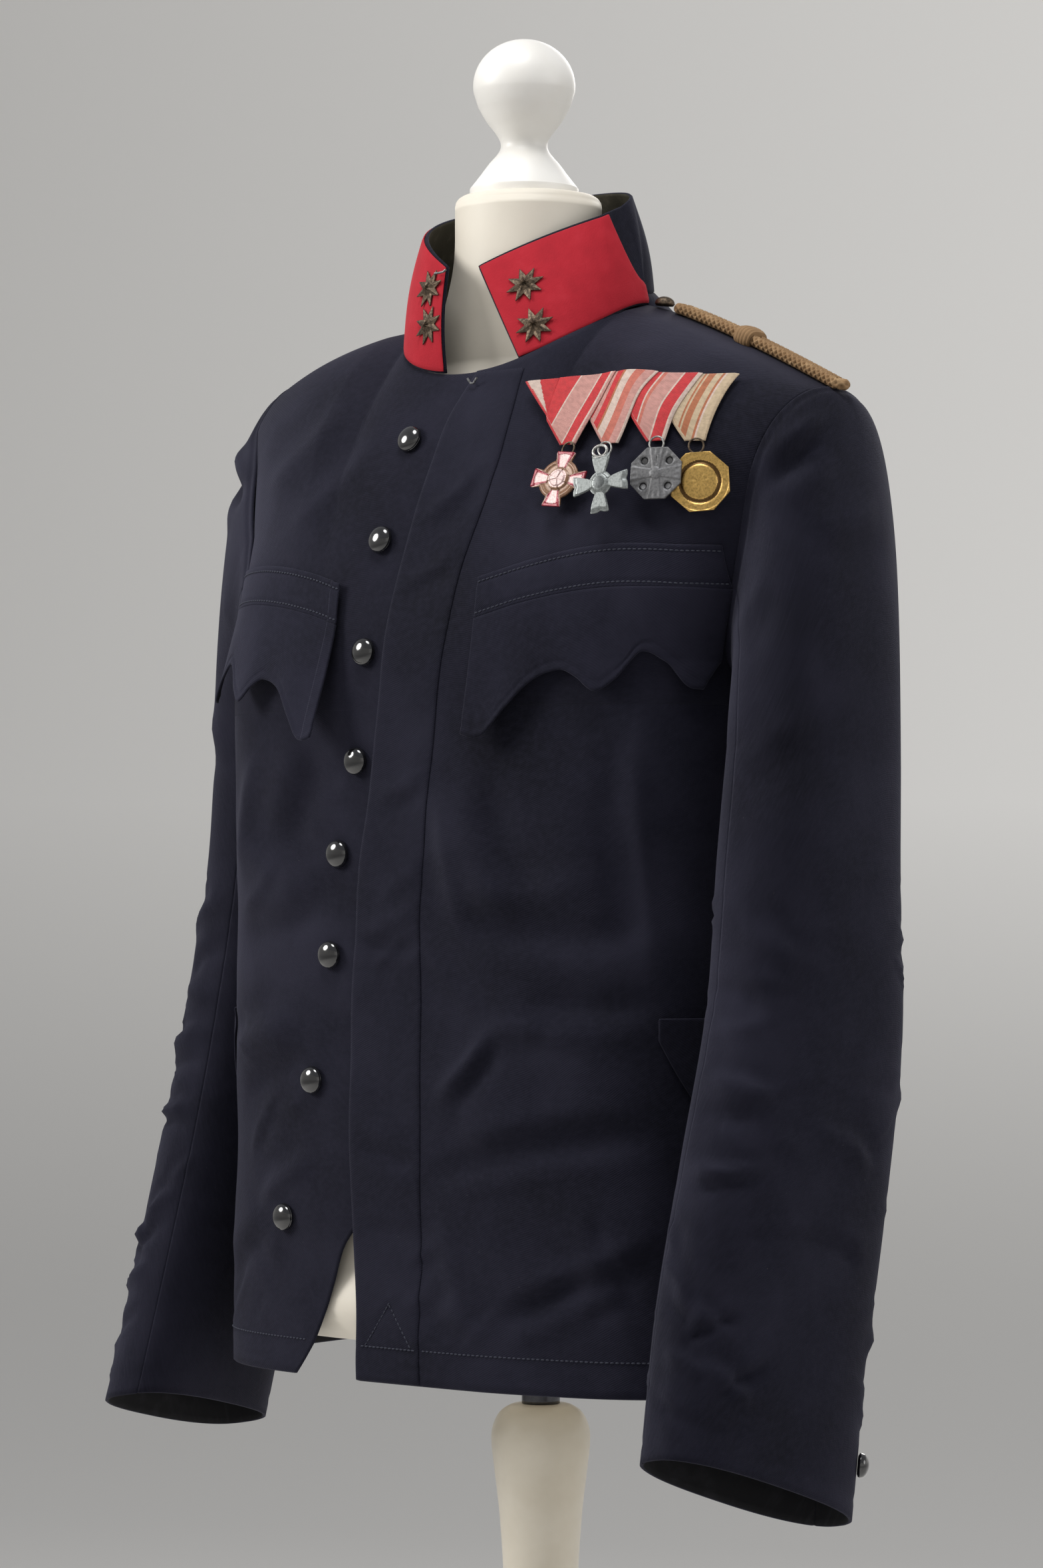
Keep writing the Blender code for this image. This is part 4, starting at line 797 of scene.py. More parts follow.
def buildBack():  # two halves in one piece, with a pressed centre seam
    halves = [panelGrid(side, True, 100, lambda z: 0.0 * z) for side in ("right", "left")]
    outer = np.concatenate([halves[0][:, :0:-1], halves[1]], axis=1)
    normal = gridNormals(outer, np.array([0.0, 1.0, 0.0]))
    x, z = outer[..., 0].copy(), outer[..., 2].copy()
    relief = foldsAt(x, z, True) - 0.0007 * hump(x, 0.0012)  # pressed centre seam
    relief = relief + pressedLine(x, z, [(-0.19, hemLine), (0.19, hemLine)], *hemGroove)
    outer = outer + normal * relief[..., None]
    inner = outer - bodice["cloth"] * normal
    for points in (outer, inner):
        seamY = shoulderTurn(points[..., 0], points[..., 2])
        points[..., 1] = np.maximum(points[..., 1], seamY + bodice["seam"] / 2)
    piece = clothSheet("backPanel", outer, normal, bodice["cloth"], [wool, lining], inner=inner)
    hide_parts("back")


buildFront("left")
buildFront("right")
buildBack()
print("fronts and back made")

# stitches
stitching = {"pitch": 0.0030, "length": 0.0022, "radius": 0.00042, "step": 0.0008, "sides": 6}


def stitches(name, paths):
    # each path is (points, normals); a stitch is a small spindle laid along it, half sunk
    spots, along, out = [], [], []
    for points, normals in paths:
        walked = lengthsAlong(points[None], 1)[0]
        at = np.arange(stitching["pitch"] / 2, walked[-1], stitching["pitch"])
        place = atWalked(at, walked, points)
        ahead = atWalked(at + stitching["step"], walked, points)
        before = atWalked(at - stitching["step"], walked, points)
        spots.append(place)
        along.append(unit(ahead - before))
        out.append(unit(atWalked(at, walked, normals)))
    spots, along, out = (np.concatenate(v) for v in (spots, along, out))
    across = np.cross(out, along)
    ringAt = stitching["length"] * np.array([-0.5, -0.28, 0.28, 0.5])[:, None]
    r = stitching["radius"] * np.array([0.25, 1.0, 1.0, 0.25])[:, None]
    sides = stitching["sides"]
    a = evenTurns(sides)
    local = np.stack(np.broadcast_arrays(ringAt, r * np.cos(a), r * np.sin(a)), axis=-1).reshape(-1, 3)
    points = (spots[:, None] + local[None, :, :1] * along[:, None] + local[None, :, 1:2] * across[:, None]
              + local[None, :, 2:] * out[:, None])
    caps = [tuple(range(sides - 1, -1, -1)), tuple(range(3 * sides, 4 * sides))]
    one = [tuple(f) for f in gridFaces(4, sides, True)] + caps
    faces = []
    for k in range(len(spots)):
        faces += [tuple(c + 4 * sides * k for c in f[::-1]) for f in one]
    return makePiece(name, points, faces, [thread])


def seamOnFront(x0, z0, x1, z1, lift=0.0, count=40):  # a straight seam from (x0, z0) to (x1, z1) on the front
    x, z = np.linspace(x0, x1, count), np.linspace(z0, z1, count)
    return onFront(x, z, lift)


hemPaths = [seamOnFront(0.016, hemLine, 0.170, hemLine), seamOnFront(-0.078, hemLine, -0.170, hemLine)]
backX = np.linspace(-0.165, 0.165, 80)
backZ = np.full(len(backX), hemLine)
backNormal = surfaceNormal(backX, backZ, True)
hemPaths.append((np.stack([backX, bodiceY(backX, backZ, True), backZ], axis=1)
                 + backNormal * foldsAt(backX, backZ, True)[:, None], backNormal))
stitches("hemStitching", hemPaths)


# the fly band and the pockets
flyBand = {
    "grid": (190, 26),
    "lift": 0.0002,          # clear of the front
    "edge": (0.0003, 0.0016),        # depth and width of its pressed edges
    "mark": ((-0.027, hemLine), (-0.0085, 0.8455), (0.009, hemLine), (-0.027, hemLine)),  # stitched triangle
    "markGroove": (0.0010, 0.0007),
    "hemGroove": (0.0012, 0.0005),
    "sunk": 0.0004,          # how far the triangle's stitches sink in
}


def buildFlyBand():
    # a strip between the front's free edge and the band's inner edge, with its pressed and stitched marks
    rows, columns = flyBand["grid"]
    z = np.linspace(bodice["hem"] + bodice["seam"], bodice["neckFront"] - 0.0008, rows)[:, None]
    left = softColumn(bodice["fly"], z, 1) + 0.0004
    right = softColumn(bodice["fly"], z, 2)
    x = left + (right - left) * np.linspace(0.0, 1.0, columns)[None]
    z = z + 0.0 * x
    mark, (dip, width) = flyBand["mark"], flyBand["edge"]
    groove = pressedLine(x, z, mark, *flyBand["markGroove"])
    groove = groove + pressedLine(x, z, [(-0.033, hemLine), (0.013, hemLine)], *flyBand["hemGroove"])
    edge = np.minimum(x - left, right - x)
    points, normal = onFront(x, z, flyBand["lift"] + bodice["band"] - dip * hump(edge, width) + groove)
    piece = clothSheet("flyBand", points, normal, bodice["band"], [wool, wool])
    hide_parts("fly_band")
    lift = 0.0003 + bodice["band"]
    seams = [seamOnFront(*a, *b, lift - flyBand["sunk"], 16) for a, b in zip(mark[:-1], mark[1:])]
    seams += [seamOnFront(-0.030, hemLine, 0.012, hemLine, lift, 16)]
    stitches("flyStitching", seams)


buildFlyBand()

pocket = {
    "rows": np.array([       # x, band top, flap top, flap bottom
        (0.0525, 1.2640, 1.2400, 1.1745),
        (0.0590, 1.2656, 1.2416, 1.1728),
        (0.0655, 1.2672, 1.2432, 1.1738),
        (0.0780, 1.2705, 1.2465, 1.1880),
        (0.0920, 1.2735, 1.2495, 1.2030),
        (0.1060, 1.2760, 1.2520, 1.2096),
        (0.1120, 1.2768, 1.2528, 1.2100),
        (0.1200, 1.2778, 1.2538, 1.2060),
        (0.1312, 1.2788, 1.2548, 1.1978),
        (0.1400, 1.2793, 1.2553, 1.2040),
        (0.1545, 1.2793, 1.2553, 1.2205),
        (0.1640, 1.2790, 1.2550, 1.2130),
        (0.1705, 1.2786, 1.2546, 1.2000),
        (0.1745, 1.2784, 1.2544, 1.1988),
    ]),
    "slant": {"left": 0.0175, "right": 0.0},
    "width": {"left": 1.0, "right": 0.93},
    "standOff": {"left": (0.015, 0.008), "right": (0.027, 0.017)},
    "columns": 130,
    "bandRows": 22,
    "flapRows": 40,
    "gap": 0.0006,           # between band and flap
    "lift": 0.0004,
    "bandSeam": 0.0030,      # stitches in from the band's edges
    "flapSeam": 0.0045,      # pressed line in from the flap's lower edge
    "slantFrom": 0.12,       # x past which the flap's far side slants
    "welt": (0.159, 0.1775, 1.0130),         # the hip flap's two ends and its top
    "weltDrop": (0.012, 0.052),              # its depth at the near end, and how much more at the far end
    "weltGrid": (32, 24),
}


def buildPocket(side):
    # a band stitched near both edges, and a scalloped flap that leaves the chest as a power of its depth
    sign, trim, columns = signOf(side), bodice["trim"], pocket["columns"]
    rows, slant, squeeze = pocket["rows"], pocket["slant"][side], pocket["width"][side]
    inner, gap, seam = rows[0, 0], pocket["gap"], pocket["bandSeam"]
    x = np.linspace(inner, rows[-1, 0] + slant, columns)[None]
    top, low = softColumn(rows, x, 1), softColumn(rows, x, 2)
    share = np.linspace(0.0, 1.0, pocket["bandRows"])[:, None]
    z = low + gap + (top - low - gap) * share
    gridX = sign * (inner + squeeze * (x - inner)) + 0.0 * z
    edge = np.minimum(z - low - gap, top - z)
    pressed = -0.0005 * hump(edge - seam, 0.0009)
    points, normal = onFront(gridX, z, pocket["lift"] + trim + pressed)
    band = clothSheet(side + "ChestBand", points, normal, trim, [litWoolTrim, lining])
    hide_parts("chest_band_" + side)
    lines = [onFront(gridX[0], line, pocket["lift"] + trim) for line in (low[0] + seam, top[0] - seam)]
    stitches(side + "BandStitching", lines)

    x = np.linspace(inner, rows[-1, 0], columns)[None]
    top, bottom = softColumn(rows, x, 2), softColumn(rows, x, 3)
    share = np.linspace(0.0, 1.0, pocket["flapRows"])[:, None]
    z = top + (bottom - top) * share
    near, far = pocket["standOff"][side]
    stand = near + (far - near) * np.linspace(0.0, 1.0, columns)[None]
    depth = (top - z) / (top.max() - bottom.min())
    curl = 0.0016 * np.sin(19.0 * x / 0.12 + 1.0) * depth**2
    pressed = -0.00045 * hump(np.abs(bottom - z) - pocket["flapSeam"], 0.0012)
    lift = 0.0008 + trim + stand * depth**1.4 + curl + pressed
    gridX = x + slant * ramp((x - pocket["slantFrom"]) / 0.0545) * (1.0 - share)
    points, normal = onFront(sign * (inner + squeeze * (gridX - inner)), z, lift)
    normal = gridNormals(points, np.array([0.0, -1.0, 0.0]))
    flap = clothSheet(side + "ChestFlap", points, normal, trim * 1.3, [litWoolTrim, lining])
    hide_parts("chest_flap_" + side)


def buildHipPocket(side):  # a slanted flap, level along its top and deeper towards the side
    near, far, top = pocket["welt"]
    shallow, deeper = pocket["weltDrop"]
    rows, columns = pocket["weltGrid"]
    x = np.linspace(near, far, columns)[None]
    bottom = top - shallow - deeper * ((x - near) / (far - near))
    z = top + (bottom - top) * np.linspace(0.0, 1.0, rows)[:, None]
    points, normal = onFront(signOf(side) * x + 0.0 * z, z, 0.0005 + bodice["trim"])
    welt = clothSheet(side + "HipFlap", points, normal, bodice["trim"], [litWoolTrim, lining])
    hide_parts("hip_flap_" + side)


for side in ("left", "right"):
    buildPocket(side)
    buildHipPocket(side)
print("fly band and pockets made")

# sleeves
sleeve = {
    "power": 2.5,
    "fullness": {"left": 0.014, "right": 0.022},
    "gap": 0.0006,
    "columns": 168,
    "headRows": 46,
    "armRows": 110,
    "upperShare": (-9 / 28, 8 / 28),   # turns from the outermost point to the two seams
    "frontSeam": (103.0, 0.30, 0.65),  # degrees to the front seam, half width and share of folds it flattens
    "reach": 0.055,          # metres round the sleeve for each radian of turn
    "smallFolds": {"left": (31, 110), "right": (37, 110)},   # seed and number
    "left": np.array([      # z, |x|, y, half breadth, half thickness, turn, pitch, roll
        (1.160, 0.2265, -0.0400, 0.0610, 0.0355, 0.0, 6.0, 0.0),
        (1.100, 0.2320, -0.0529, 0.0625, 0.0365, -2.0, 8.0, 2.0),
        (1.013, 0.2380, -0.0658, 0.0660, 0.0365, -6.0, 11.0, 4.0),
        (0.927, 0.2430, -0.0927, 0.0710, 0.0345, -9.0, 15.0, 6.0),
        (0.844, 0.2470, -0.1197, 0.0735, 0.0320, -12.0, 18.0, 9.0),
        (0.760, 0.2500, -0.1388, 0.0745, 0.0310, -12.0, 19.0, 11.0),
    ]),
    "right": np.array([
        (1.160, 0.2205, 0.0260, 0.0600, 0.0335, 0.0, 3.0, 0.0),
        (1.100, 0.2230, 0.0230, 0.0620, 0.0340, -2.0, 5.0, -2.0),
        (1.013, 0.2260, 0.0080, 0.0660, 0.0345, -5.0, 8.0, -4.0),
        (0.927, 0.2300, -0.0110, 0.0700, 0.0340, -8.0, 11.0, -6.0),
        (0.844, 0.2340, -0.0330, 0.0725, 0.0320, -10.0, 13.0, -8.0),
        (0.760, 0.2385, -0.0545, 0.0735, 0.0310, -10.0, 13.0, -10.0),
    ]),
}
# turn (degrees from the outermost point, by the front) and z of both ends, width, height and bend, in
# millimetres apart from the turns
sleeveFolds = np.array([
    (12, 1356, 66, 1325, 6, 4.8, 4), (20, 1336, 60, 1312, 8, -4, 3), (-10, 1300, 30, 1285, 10, 1.8, 3),
    (70, 1260, 120, 1225, 9, 2.4, 3), (40, 1180, 110, 1150, 12, 2, -4), (95, 1065, 35, 1040, 8, 2.4, 4),
    (110, 1035, 60, 1020, 7, -2.4, 3), (112, 1004, 55, 1012, 6, 2, 2), (106, 984, 36, 972, 5.2, 3.4, 3),
    (104, 966, 42, 960, 5.6, -3, 2), (100, 940, 40, 934, 4.6, 3.2, -2), (92, 925, 34, 929, 4.2, -2.6, 2),
    (112, 907, 90, 892, 4.4, 3, 1), (106, 889, 66, 868, 5, 3.4, 2), (66, 868, 34, 848, 4.6, 3, -2),
    (96, 866, 60, 850, 4.4, -2.8, 2), (70, 846, 30, 858, 4.2, -2.6, 1), (88, 840, 48, 828, 4.6, 2.6, 2),
    (54, 836, 20, 812, 4.8, 3, 2), (40, 818, 10, 832, 4, -2.4, 1), (92, 812, 52, 800, 5, -2, 2),
    (60, 794, 20, 786, 5, 2, 1), (14, 960, -20, 930, 5.6, 2.2, 2), (6, 900, -24, 880, 5.2, -2, 1),
    (200, 1010, 250, 990, 8, 3, 4), (190, 950, 250, 935, 7, -3, 3), (200, 890, 260, 880, 7, 2.8, 3),
    (230, 1120, 300, 1100, 11, 2.6, 4), (260, 990, 310, 965, 8, 2.4, 3), (250, 850, 310, 835, 7, 2.4, 2),
]) / (1.0, 1000.0, 1.0, 1000.0, 1000.0, 1000.0, 1000.0)


def armholeLoop(side, count):
    # evenly spaced points round the armhole, from the shoulder point down the front and up the back
    sign = signOf(side)
    rows = 240
    t = np.linspace(1.0, 0.0, rows)
    halves = []
    for back in (False, True):
        z = bodice["armpit"] + t * (bodice["shoulderZ"][side] - bodice["armpit"])
        turn = softColumn(bodice["armhole"][side], t, 2 if back else 1)
        x = xOfReach(sign * np.interp(np.radians(turn), angles, reach), z)
        halves.append(np.stack([x, bodiceY(x, z, back), z], axis=1))
    loop = np.concatenate([halves[0], halves[1][::-1][1:]])
    walked = lengthsAlong(loop[None], 1)[0]
    armpit = walked[rows - 1]
    wanted = np.concatenate([np.linspace(0.0, armpit, count // 2 + 1)[:-1],
                             np.linspace(armpit, walked[-1], count // 2 + 1)[:-1]])
    return atWalked(wanted, walked, loop)


def armRings(side, heights, count):
    # flattened superellipse rings, turned in, pitched forward and rolled as the table gives
    sign = signOf(side)
    rows = sleeve[side][::-1]
    x, y, broad, thick, turn, pitch, roll = (softColumn(rows, heights, k) for k in range(1, 8))
    turn, pitch, roll = np.radians(turn), np.radians(pitch), np.radians(roll)
    level, upright = np.cos(pitch), np.cos(roll)
    front = np.stack([np.sin(turn) * sign * level, -np.cos(turn) * level, np.sin(pitch)], axis=1)
    out = np.stack([np.cos(turn) * sign * upright, np.sin(turn) * upright, np.sin(roll)], axis=1)
    a = evenTurns(count)
    c = squared(np.cos(a), 2 / sleeve["power"])
    s = squared(np.sin(a), 2 / sleeve["power"])
    centre = np.stack([sign * x, y, heights], axis=1)
    return (centre[:, None] + (thick[:, None] * c)[..., None] * out[:, None]
            + (broad[:, None] * s)[..., None] * front[:, None])


def sleeveSurface(side, count):
    # the head is a cubic curve from each armhole point to the first ring, then come the arm's rings
    sign = signOf(side)
    rows = sleeve[side]
    start = armholeLoop(side, count) + sleeve["gap"] * np.array([sign, 0.0, 0.0])
    arm = armRings(side, np.linspace(rows[0, 0], rows[-1, 0], sleeve["armRows"]), count)
    first = arm[0]
    a = evenTurns(count)
    top = (0.5 + 0.5 * np.cos(a))[:, None]
    away = unit(np.concatenate([np.full((count, 1), sign), np.zeros((count, 1)), -0.22 * top], axis=1))
    one = start + away * (0.006 + sleeve["fullness"][side] * top)
    two = first + np.array([0.0, 0.0, 1.0]) * (0.40 * (start[:, 2:] - first[:, 2:]) + 0.004)
    t = (np.linspace(0.0, 1.0, sleeve["headRows"] + 1)[:-1] ** 1.15)[:, None, None]
    head = (1 - t)**3 * start + 3 * t * (1 - t)**2 * one + 3 * t * t * (1 - t) * two + t**3 * first
    return np.concatenate([head, arm])


def buildSleeve(side):
    # folds, seam and hem are raised along the normals, then the tube is cut into an upper and an under sleeve
    count, armReach = sleeve["columns"], sleeve["reach"]
    surface = sleeveSurface(side, count)
    around = np.roll(surface, -1, axis=1) - np.roll(surface, 1, axis=1)
    normal = unit(np.cross(np.gradient(surface, axis=0), around))
    normal = normal if np.sum(normal * (surface - surface.mean(axis=1, keepdims=True))) > 0 else -normal
    turn = np.broadcast_to(evenTurns(count), surface.shape[:2])
    rows = sleeveFolds.copy()
    if side == "right":
        rows[:, (0, 2)] = rows[:, (0, 2)] * 0.9 + 8.0
        rows[:, (1, 3)] += 0.012
        rows[:, 5] *= 0.85
    rows[:, (0, 2)] = np.radians(rows[:, (0, 2)]) * armReach
    small = scatteredFolds(*sleeve["smallFolds"][side], (-0.05, 0.78), (0.30, 1.10), (0.02, 0.06), (2, 40),
                           (0.0022, 0.0048), (-0.0009, 0.0011))
    z = surface[..., 2]
    relief = 0.0
    for shift in (-2 * np.pi, 0.0, 2 * np.pi):
        u = (turn + shift) * armReach
        relief = relief + foldField(u, z, rows) + foldField(u, z, small)
    fromHead = lengthsAlong(surface, 0)
    fromCuff = fromHead[-1:] - fromHead
    seamAt, seamWidth, seamShare = sleeve["frontSeam"]
    seamTurn = np.abs((turn - math.radians(seamAt) + np.pi) % (2 * np.pi) - np.pi)
    relief = 1.20 * relief * (1.0 - seamShare * hump(seamTurn, seamWidth))  # the front seam holds it flatter
    relief = relief * ramp(fromHead / 0.03) * (0.25 + 0.75 * ramp(fromCuff / 0.03))
    relief = relief + 0.0009 * np.sin(2 * turn + 9 * z) * ramp(fromHead / 0.05)
    relief = relief - 0.0008 * hump(fromHead - 0.004, 0.0022)   # the armhole seam is pressed in
    relief = relief - 0.0005 * hump(fromCuff - 0.012, 0.0012)   # the cuff's turned hem
    surface = surface + normal * relief[..., None]
    inner = surface - bodice["cloth"] * normal
    low, high = (int(round(v * count)) for v in sleeve["upperShare"])
    spans = {"Upper": np.arange(low, high + 1) % count, "Under": np.arange(high, low + count + 1) % count}
    tangent = unit(around)
    for part, columns in spans.items():
        a, b = surface[:, columns].copy(), inner[:, columns].copy()
        for points in (a, b):
            points[:, 0] += 0.4 * bodice["seam"] * tangent[:, columns[0]]
            points[:, -1] -= 0.4 * bodice["seam"] * tangent[:, columns[-1]]
        piece = clothSheet(side + "Sleeve" + part, a, normal[:, columns], bodice["cloth"], [wool, lining],
                           inner=b, roll=0.25)
        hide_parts(f"sleeve_{side}_{part.lower()}")
    return surface, normal


armSurface = {side: buildSleeve(side) for side in ("left", "right")}
print("sleeves made")

# collar
collar = {
    "end": {"left": 31.0, "right": 9.5},          # degrees round the neck where each half starts
    "lean": {"left": 0.0310, "right": -0.005},
    "topX": 0.0640,
    "topFront": 0.0670,
    "topBack": 0.0440,
    "topZ": (1.4530, 1.5060),
    "joint": 0.0008,
    "patchEnd": (93.0, 79.0),
    "patchLift": 0.0004,
    "grid": (34, 130),
    "patchColumns": 64,
    "bow": 0.0025,
    "leanTo": 75.0,          # degrees round the neck where the lean has faded out
    "ripple": 0.0005,
    "star": 0.0118,
    "stars": {"left": ((12.0, 0.63), (11.0, 0.23)), "right": ((10.5, 0.72), (9.0, 0.40))},
}


def collarPoint(side, degrees, height, lift=0.0):
    # stands on the neckline and closes to a smaller, higher loop, with a slight outward bow
    sign = signOf(side)
    a = np.radians(np.asarray(degrees, float))
    height = np.asarray(height, float)
    x = bodice["neckX"][side] * np.sin(a)
    back = np.cos(a) < 0
    neckZ = np.where(back, neckline(x, side, True), neckline(x, side, False))
    baseY = np.where(back, bodiceY(sign * x, neckZ, True), bodiceY(sign * x, neckZ, False))
    baseZ = neckZ + collar["joint"]
    end = math.radians(collar["end"][side])
    leanTo = math.radians(collar["leanTo"])
    lean = collar["lean"][side] * np.clip((leanTo - a) / (leanTo - end), 0.0, 1.0)
    topX = collar["topX"] * np.sin(a) - lean
    topY = -np.where(back, collar["topBack"], collar["topFront"]) * np.cos(a) - 0.004
    rise = 1.0 - (1.0 - np.clip((a - end) / (math.pi - end), 0.0, 1.0)) ** 2.2
    topZ = collar["topZ"][0] + (collar["topZ"][1] - collar["topZ"][0]) * rise
    bow = collar["bow"] * np.sin(np.pi * height)
    x = x + (topX - x) * height + (bow + lift) * np.sin(a)
    y = baseY + (topY - baseY) * height - (bow + lift) * np.cos(a)
    return np.stack([sign * x, y, baseZ + (topZ - baseZ) * height], axis=-1)


def starPlate(name, place, across, up, out, radius, look):
    # eight points round a hub: each ray is a ridge that falls to the notch beside it
    count, rings = 160, 22
    a = evenTurns(count)
    beside = np.abs(((a / (2 * np.pi) * 8 + 0.5) % 1.0) - 0.5) * 2     # 0 on a ray, 1 in a notch
    rim = radius * 0.50 / (0.50 + 0.50 * beside)
    share = np.linspace(0.0, 1.0, rings)[1:, None]
    r = share * rim
    ridge = (1.0 - beside) * (1.0 - share) ** 0.6
    height = 0.0007 + 0.0021 * (1.0 - share) ** 0.8 * (0.45 + 0.55 * ridge)
    height = height + 0.0010 * capRound(r, 0.34 * radius)
    flat = np.sin(a)[:, None] * across + np.cos(a)[:, None] * up
    face = place + r[..., None] * flat + height[..., None] * out
    skirt = place + rim[:, None] * flat
    turn = float(np.dot(np.cross(across, up), out)) > 0
    return closedRings(name, np.concatenate([face, skirt[None]]), [place + 0.0038 * out, place], look,
                       turn=turn)


def rippled(degrees, height):  # a slow wave round the collar that dies away at its foot and top
    return collar["ripple"] * np.sin(degrees / 9.0 + 2 * height) * np.sin(np.pi * height)


def buildCollar(side):
    # one half of the collar from its front end to the centre back, its felt patch and its two stars
    end = collar["end"][side]
    sign = signOf(side)
    rows, columns = collar["grid"]
    share, h = np.meshgrid(np.linspace(0.0, 1.0, columns), np.linspace(0.0, 1.0, rows))
    degrees = end + (180.0 - end) * share
    ripple = rippled(degrees, h)
    outer = collarPoint(side, degrees, h, ripple)
    inner = collarPoint(side, degrees, h, ripple - bodice["cloth"])
    for points in (outer, inner):
        points[..., 0] = sign * np.maximum(sign * points[..., 0], bodice["seam"] / 2)
    normal = unit(outer - inner)
    piece = clothSheet(side + "Collar", outer, normal, bodice["cloth"], [wool, collarLining],
                       inner=inner)
    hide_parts("collar_" + side)

    share, h = np.meshgrid(np.linspace(0.0, 1.0, collar["patchColumns"]), np.linspace(0.012, 0.988, rows))
    low, high = collar["patchEnd"]
    degrees = end + 0.25 + (low + (high - low) * h - end - 0.25) * share
    ripple = rippled(degrees, h)
    edge = np.minimum(np.minimum(share, 1 - share) * 0.085, np.minimum(h, 1 - h) * 0.062)
    soft = -0.0004 * hump(edge, 0.0016)
    outer = collarPoint(side, degrees, h, collar["patchLift"] + bodice["trim"] + ripple + soft)
    inner = collarPoint(side, degrees, h, collar["patchLift"] + ripple)
    normal = unit(outer - inner)
    patch = clothSheet(side + "CollarPatch", outer, normal, bodice["trim"], [felt], inner=inner)
    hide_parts("collar_patch_" + side)

    for number, (turn, height) in enumerate(collar["stars"][side], 1):
        lift = collar["patchLift"] + bodice["trim"] + 0.0002
        place = collarPoint(side, end + turn, height, lift)
        right = collarPoint(side, end + turn + 1, height) - collarPoint(side, end + turn - 1, height)
        above = collarPoint(side, end + turn, height + 0.05) - collarPoint(side, end + turn, height - 0.05)
        across = unit(right)
        out = unit(np.cross(right, above))
        out = -out if out[1] > 0 else out
        star = starPlate(f"{side}Star{number}", place, across, np.cross(out, across), out, collar["star"],
                         brass)
        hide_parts(f"collar_star_{side}_{number}")


for side in ("left", "right"):
    buildCollar(side)
print("collar made")

# buttons
button = {
    "radius": 0.0083,
    "cuffRadius": 0.0070,
    "cuffPlace": (23 / 28, 0.082),   # turns round the sleeve and share of the arm's rows up from the cuff
    "places": ((-0.0219, 1.3489), (-0.0277, 1.2893), (-0.0301, 1.2236), (-0.0364, 1.1602),
               (-0.0521, 1.1062), (-0.0562, 1.0470), (-0.0710, 0.9731), (-0.0947, 0.8912)),
}


def domedButton(name, place, out, radius, node):
    # a thin flange under a dome whose height follows half an ellipse
    a = np.radians(np.linspace(4.0, 86.0, 18))
    profile = [(0.0, 0.0), (radius * 0.72, 0.0), (radius * 0.95, 0.0008), (radius, 0.0014), (radius, 0.0019),
               (radius * 0.985, 0.0022)]
    profile += list(zip(radius * 0.97 * np.cos(a), 0.0022 + 0.0042 * np.sin(a)))
    profile.append((0.0, 0.0064))
    piece = turned(name, profile, place, out, hornBlack, 48)
    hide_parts(node)


def buildButtons():  # eight down the right front and one behind each cuff
    for number, (x, z) in enumerate(button["places"], 1):
        points, normal = onFront(np.array([x]), np.array([z]), np.array([0.0004]))
        points[:, 1] += lapAt(x) if x > -0.06 else 0.0    # these sit on the right front
        domedButton(f"frontButton{number}", points[0], normal[0], button["radius"], f"front_button_{number}")
    for side, (surface, normal) in armSurface.items():
        turns, up = button["cuffPlace"]
        at = (round(len(surface) - sleeve["armRows"] * up), round(surface.shape[1] * turns))
        domedButton(side + "CuffButton", surface[at] + 0.0002 * normal[at], normal[at],
                    button["cuffRadius"], "cuff_button_" + side)


buildButtons()
print("buttons made")

# shoulder cord
cord = {
    "inner": 0.108,
    "outer": 0.2240,
    "radius": 0.0032,
    "spacing": 0.0070,       # between the loop's two runs
    "lift": 0.0004,
    "slide": 0.158,          # x of the slide's middle
    "slideHalf": 0.0055,
    "plait": 0.0080,         # length of one turn of a strand
    "rows": 840,
    "sides": 20,
    "buttonIn": 0.0155,      # from the loop's inner end to its button
}


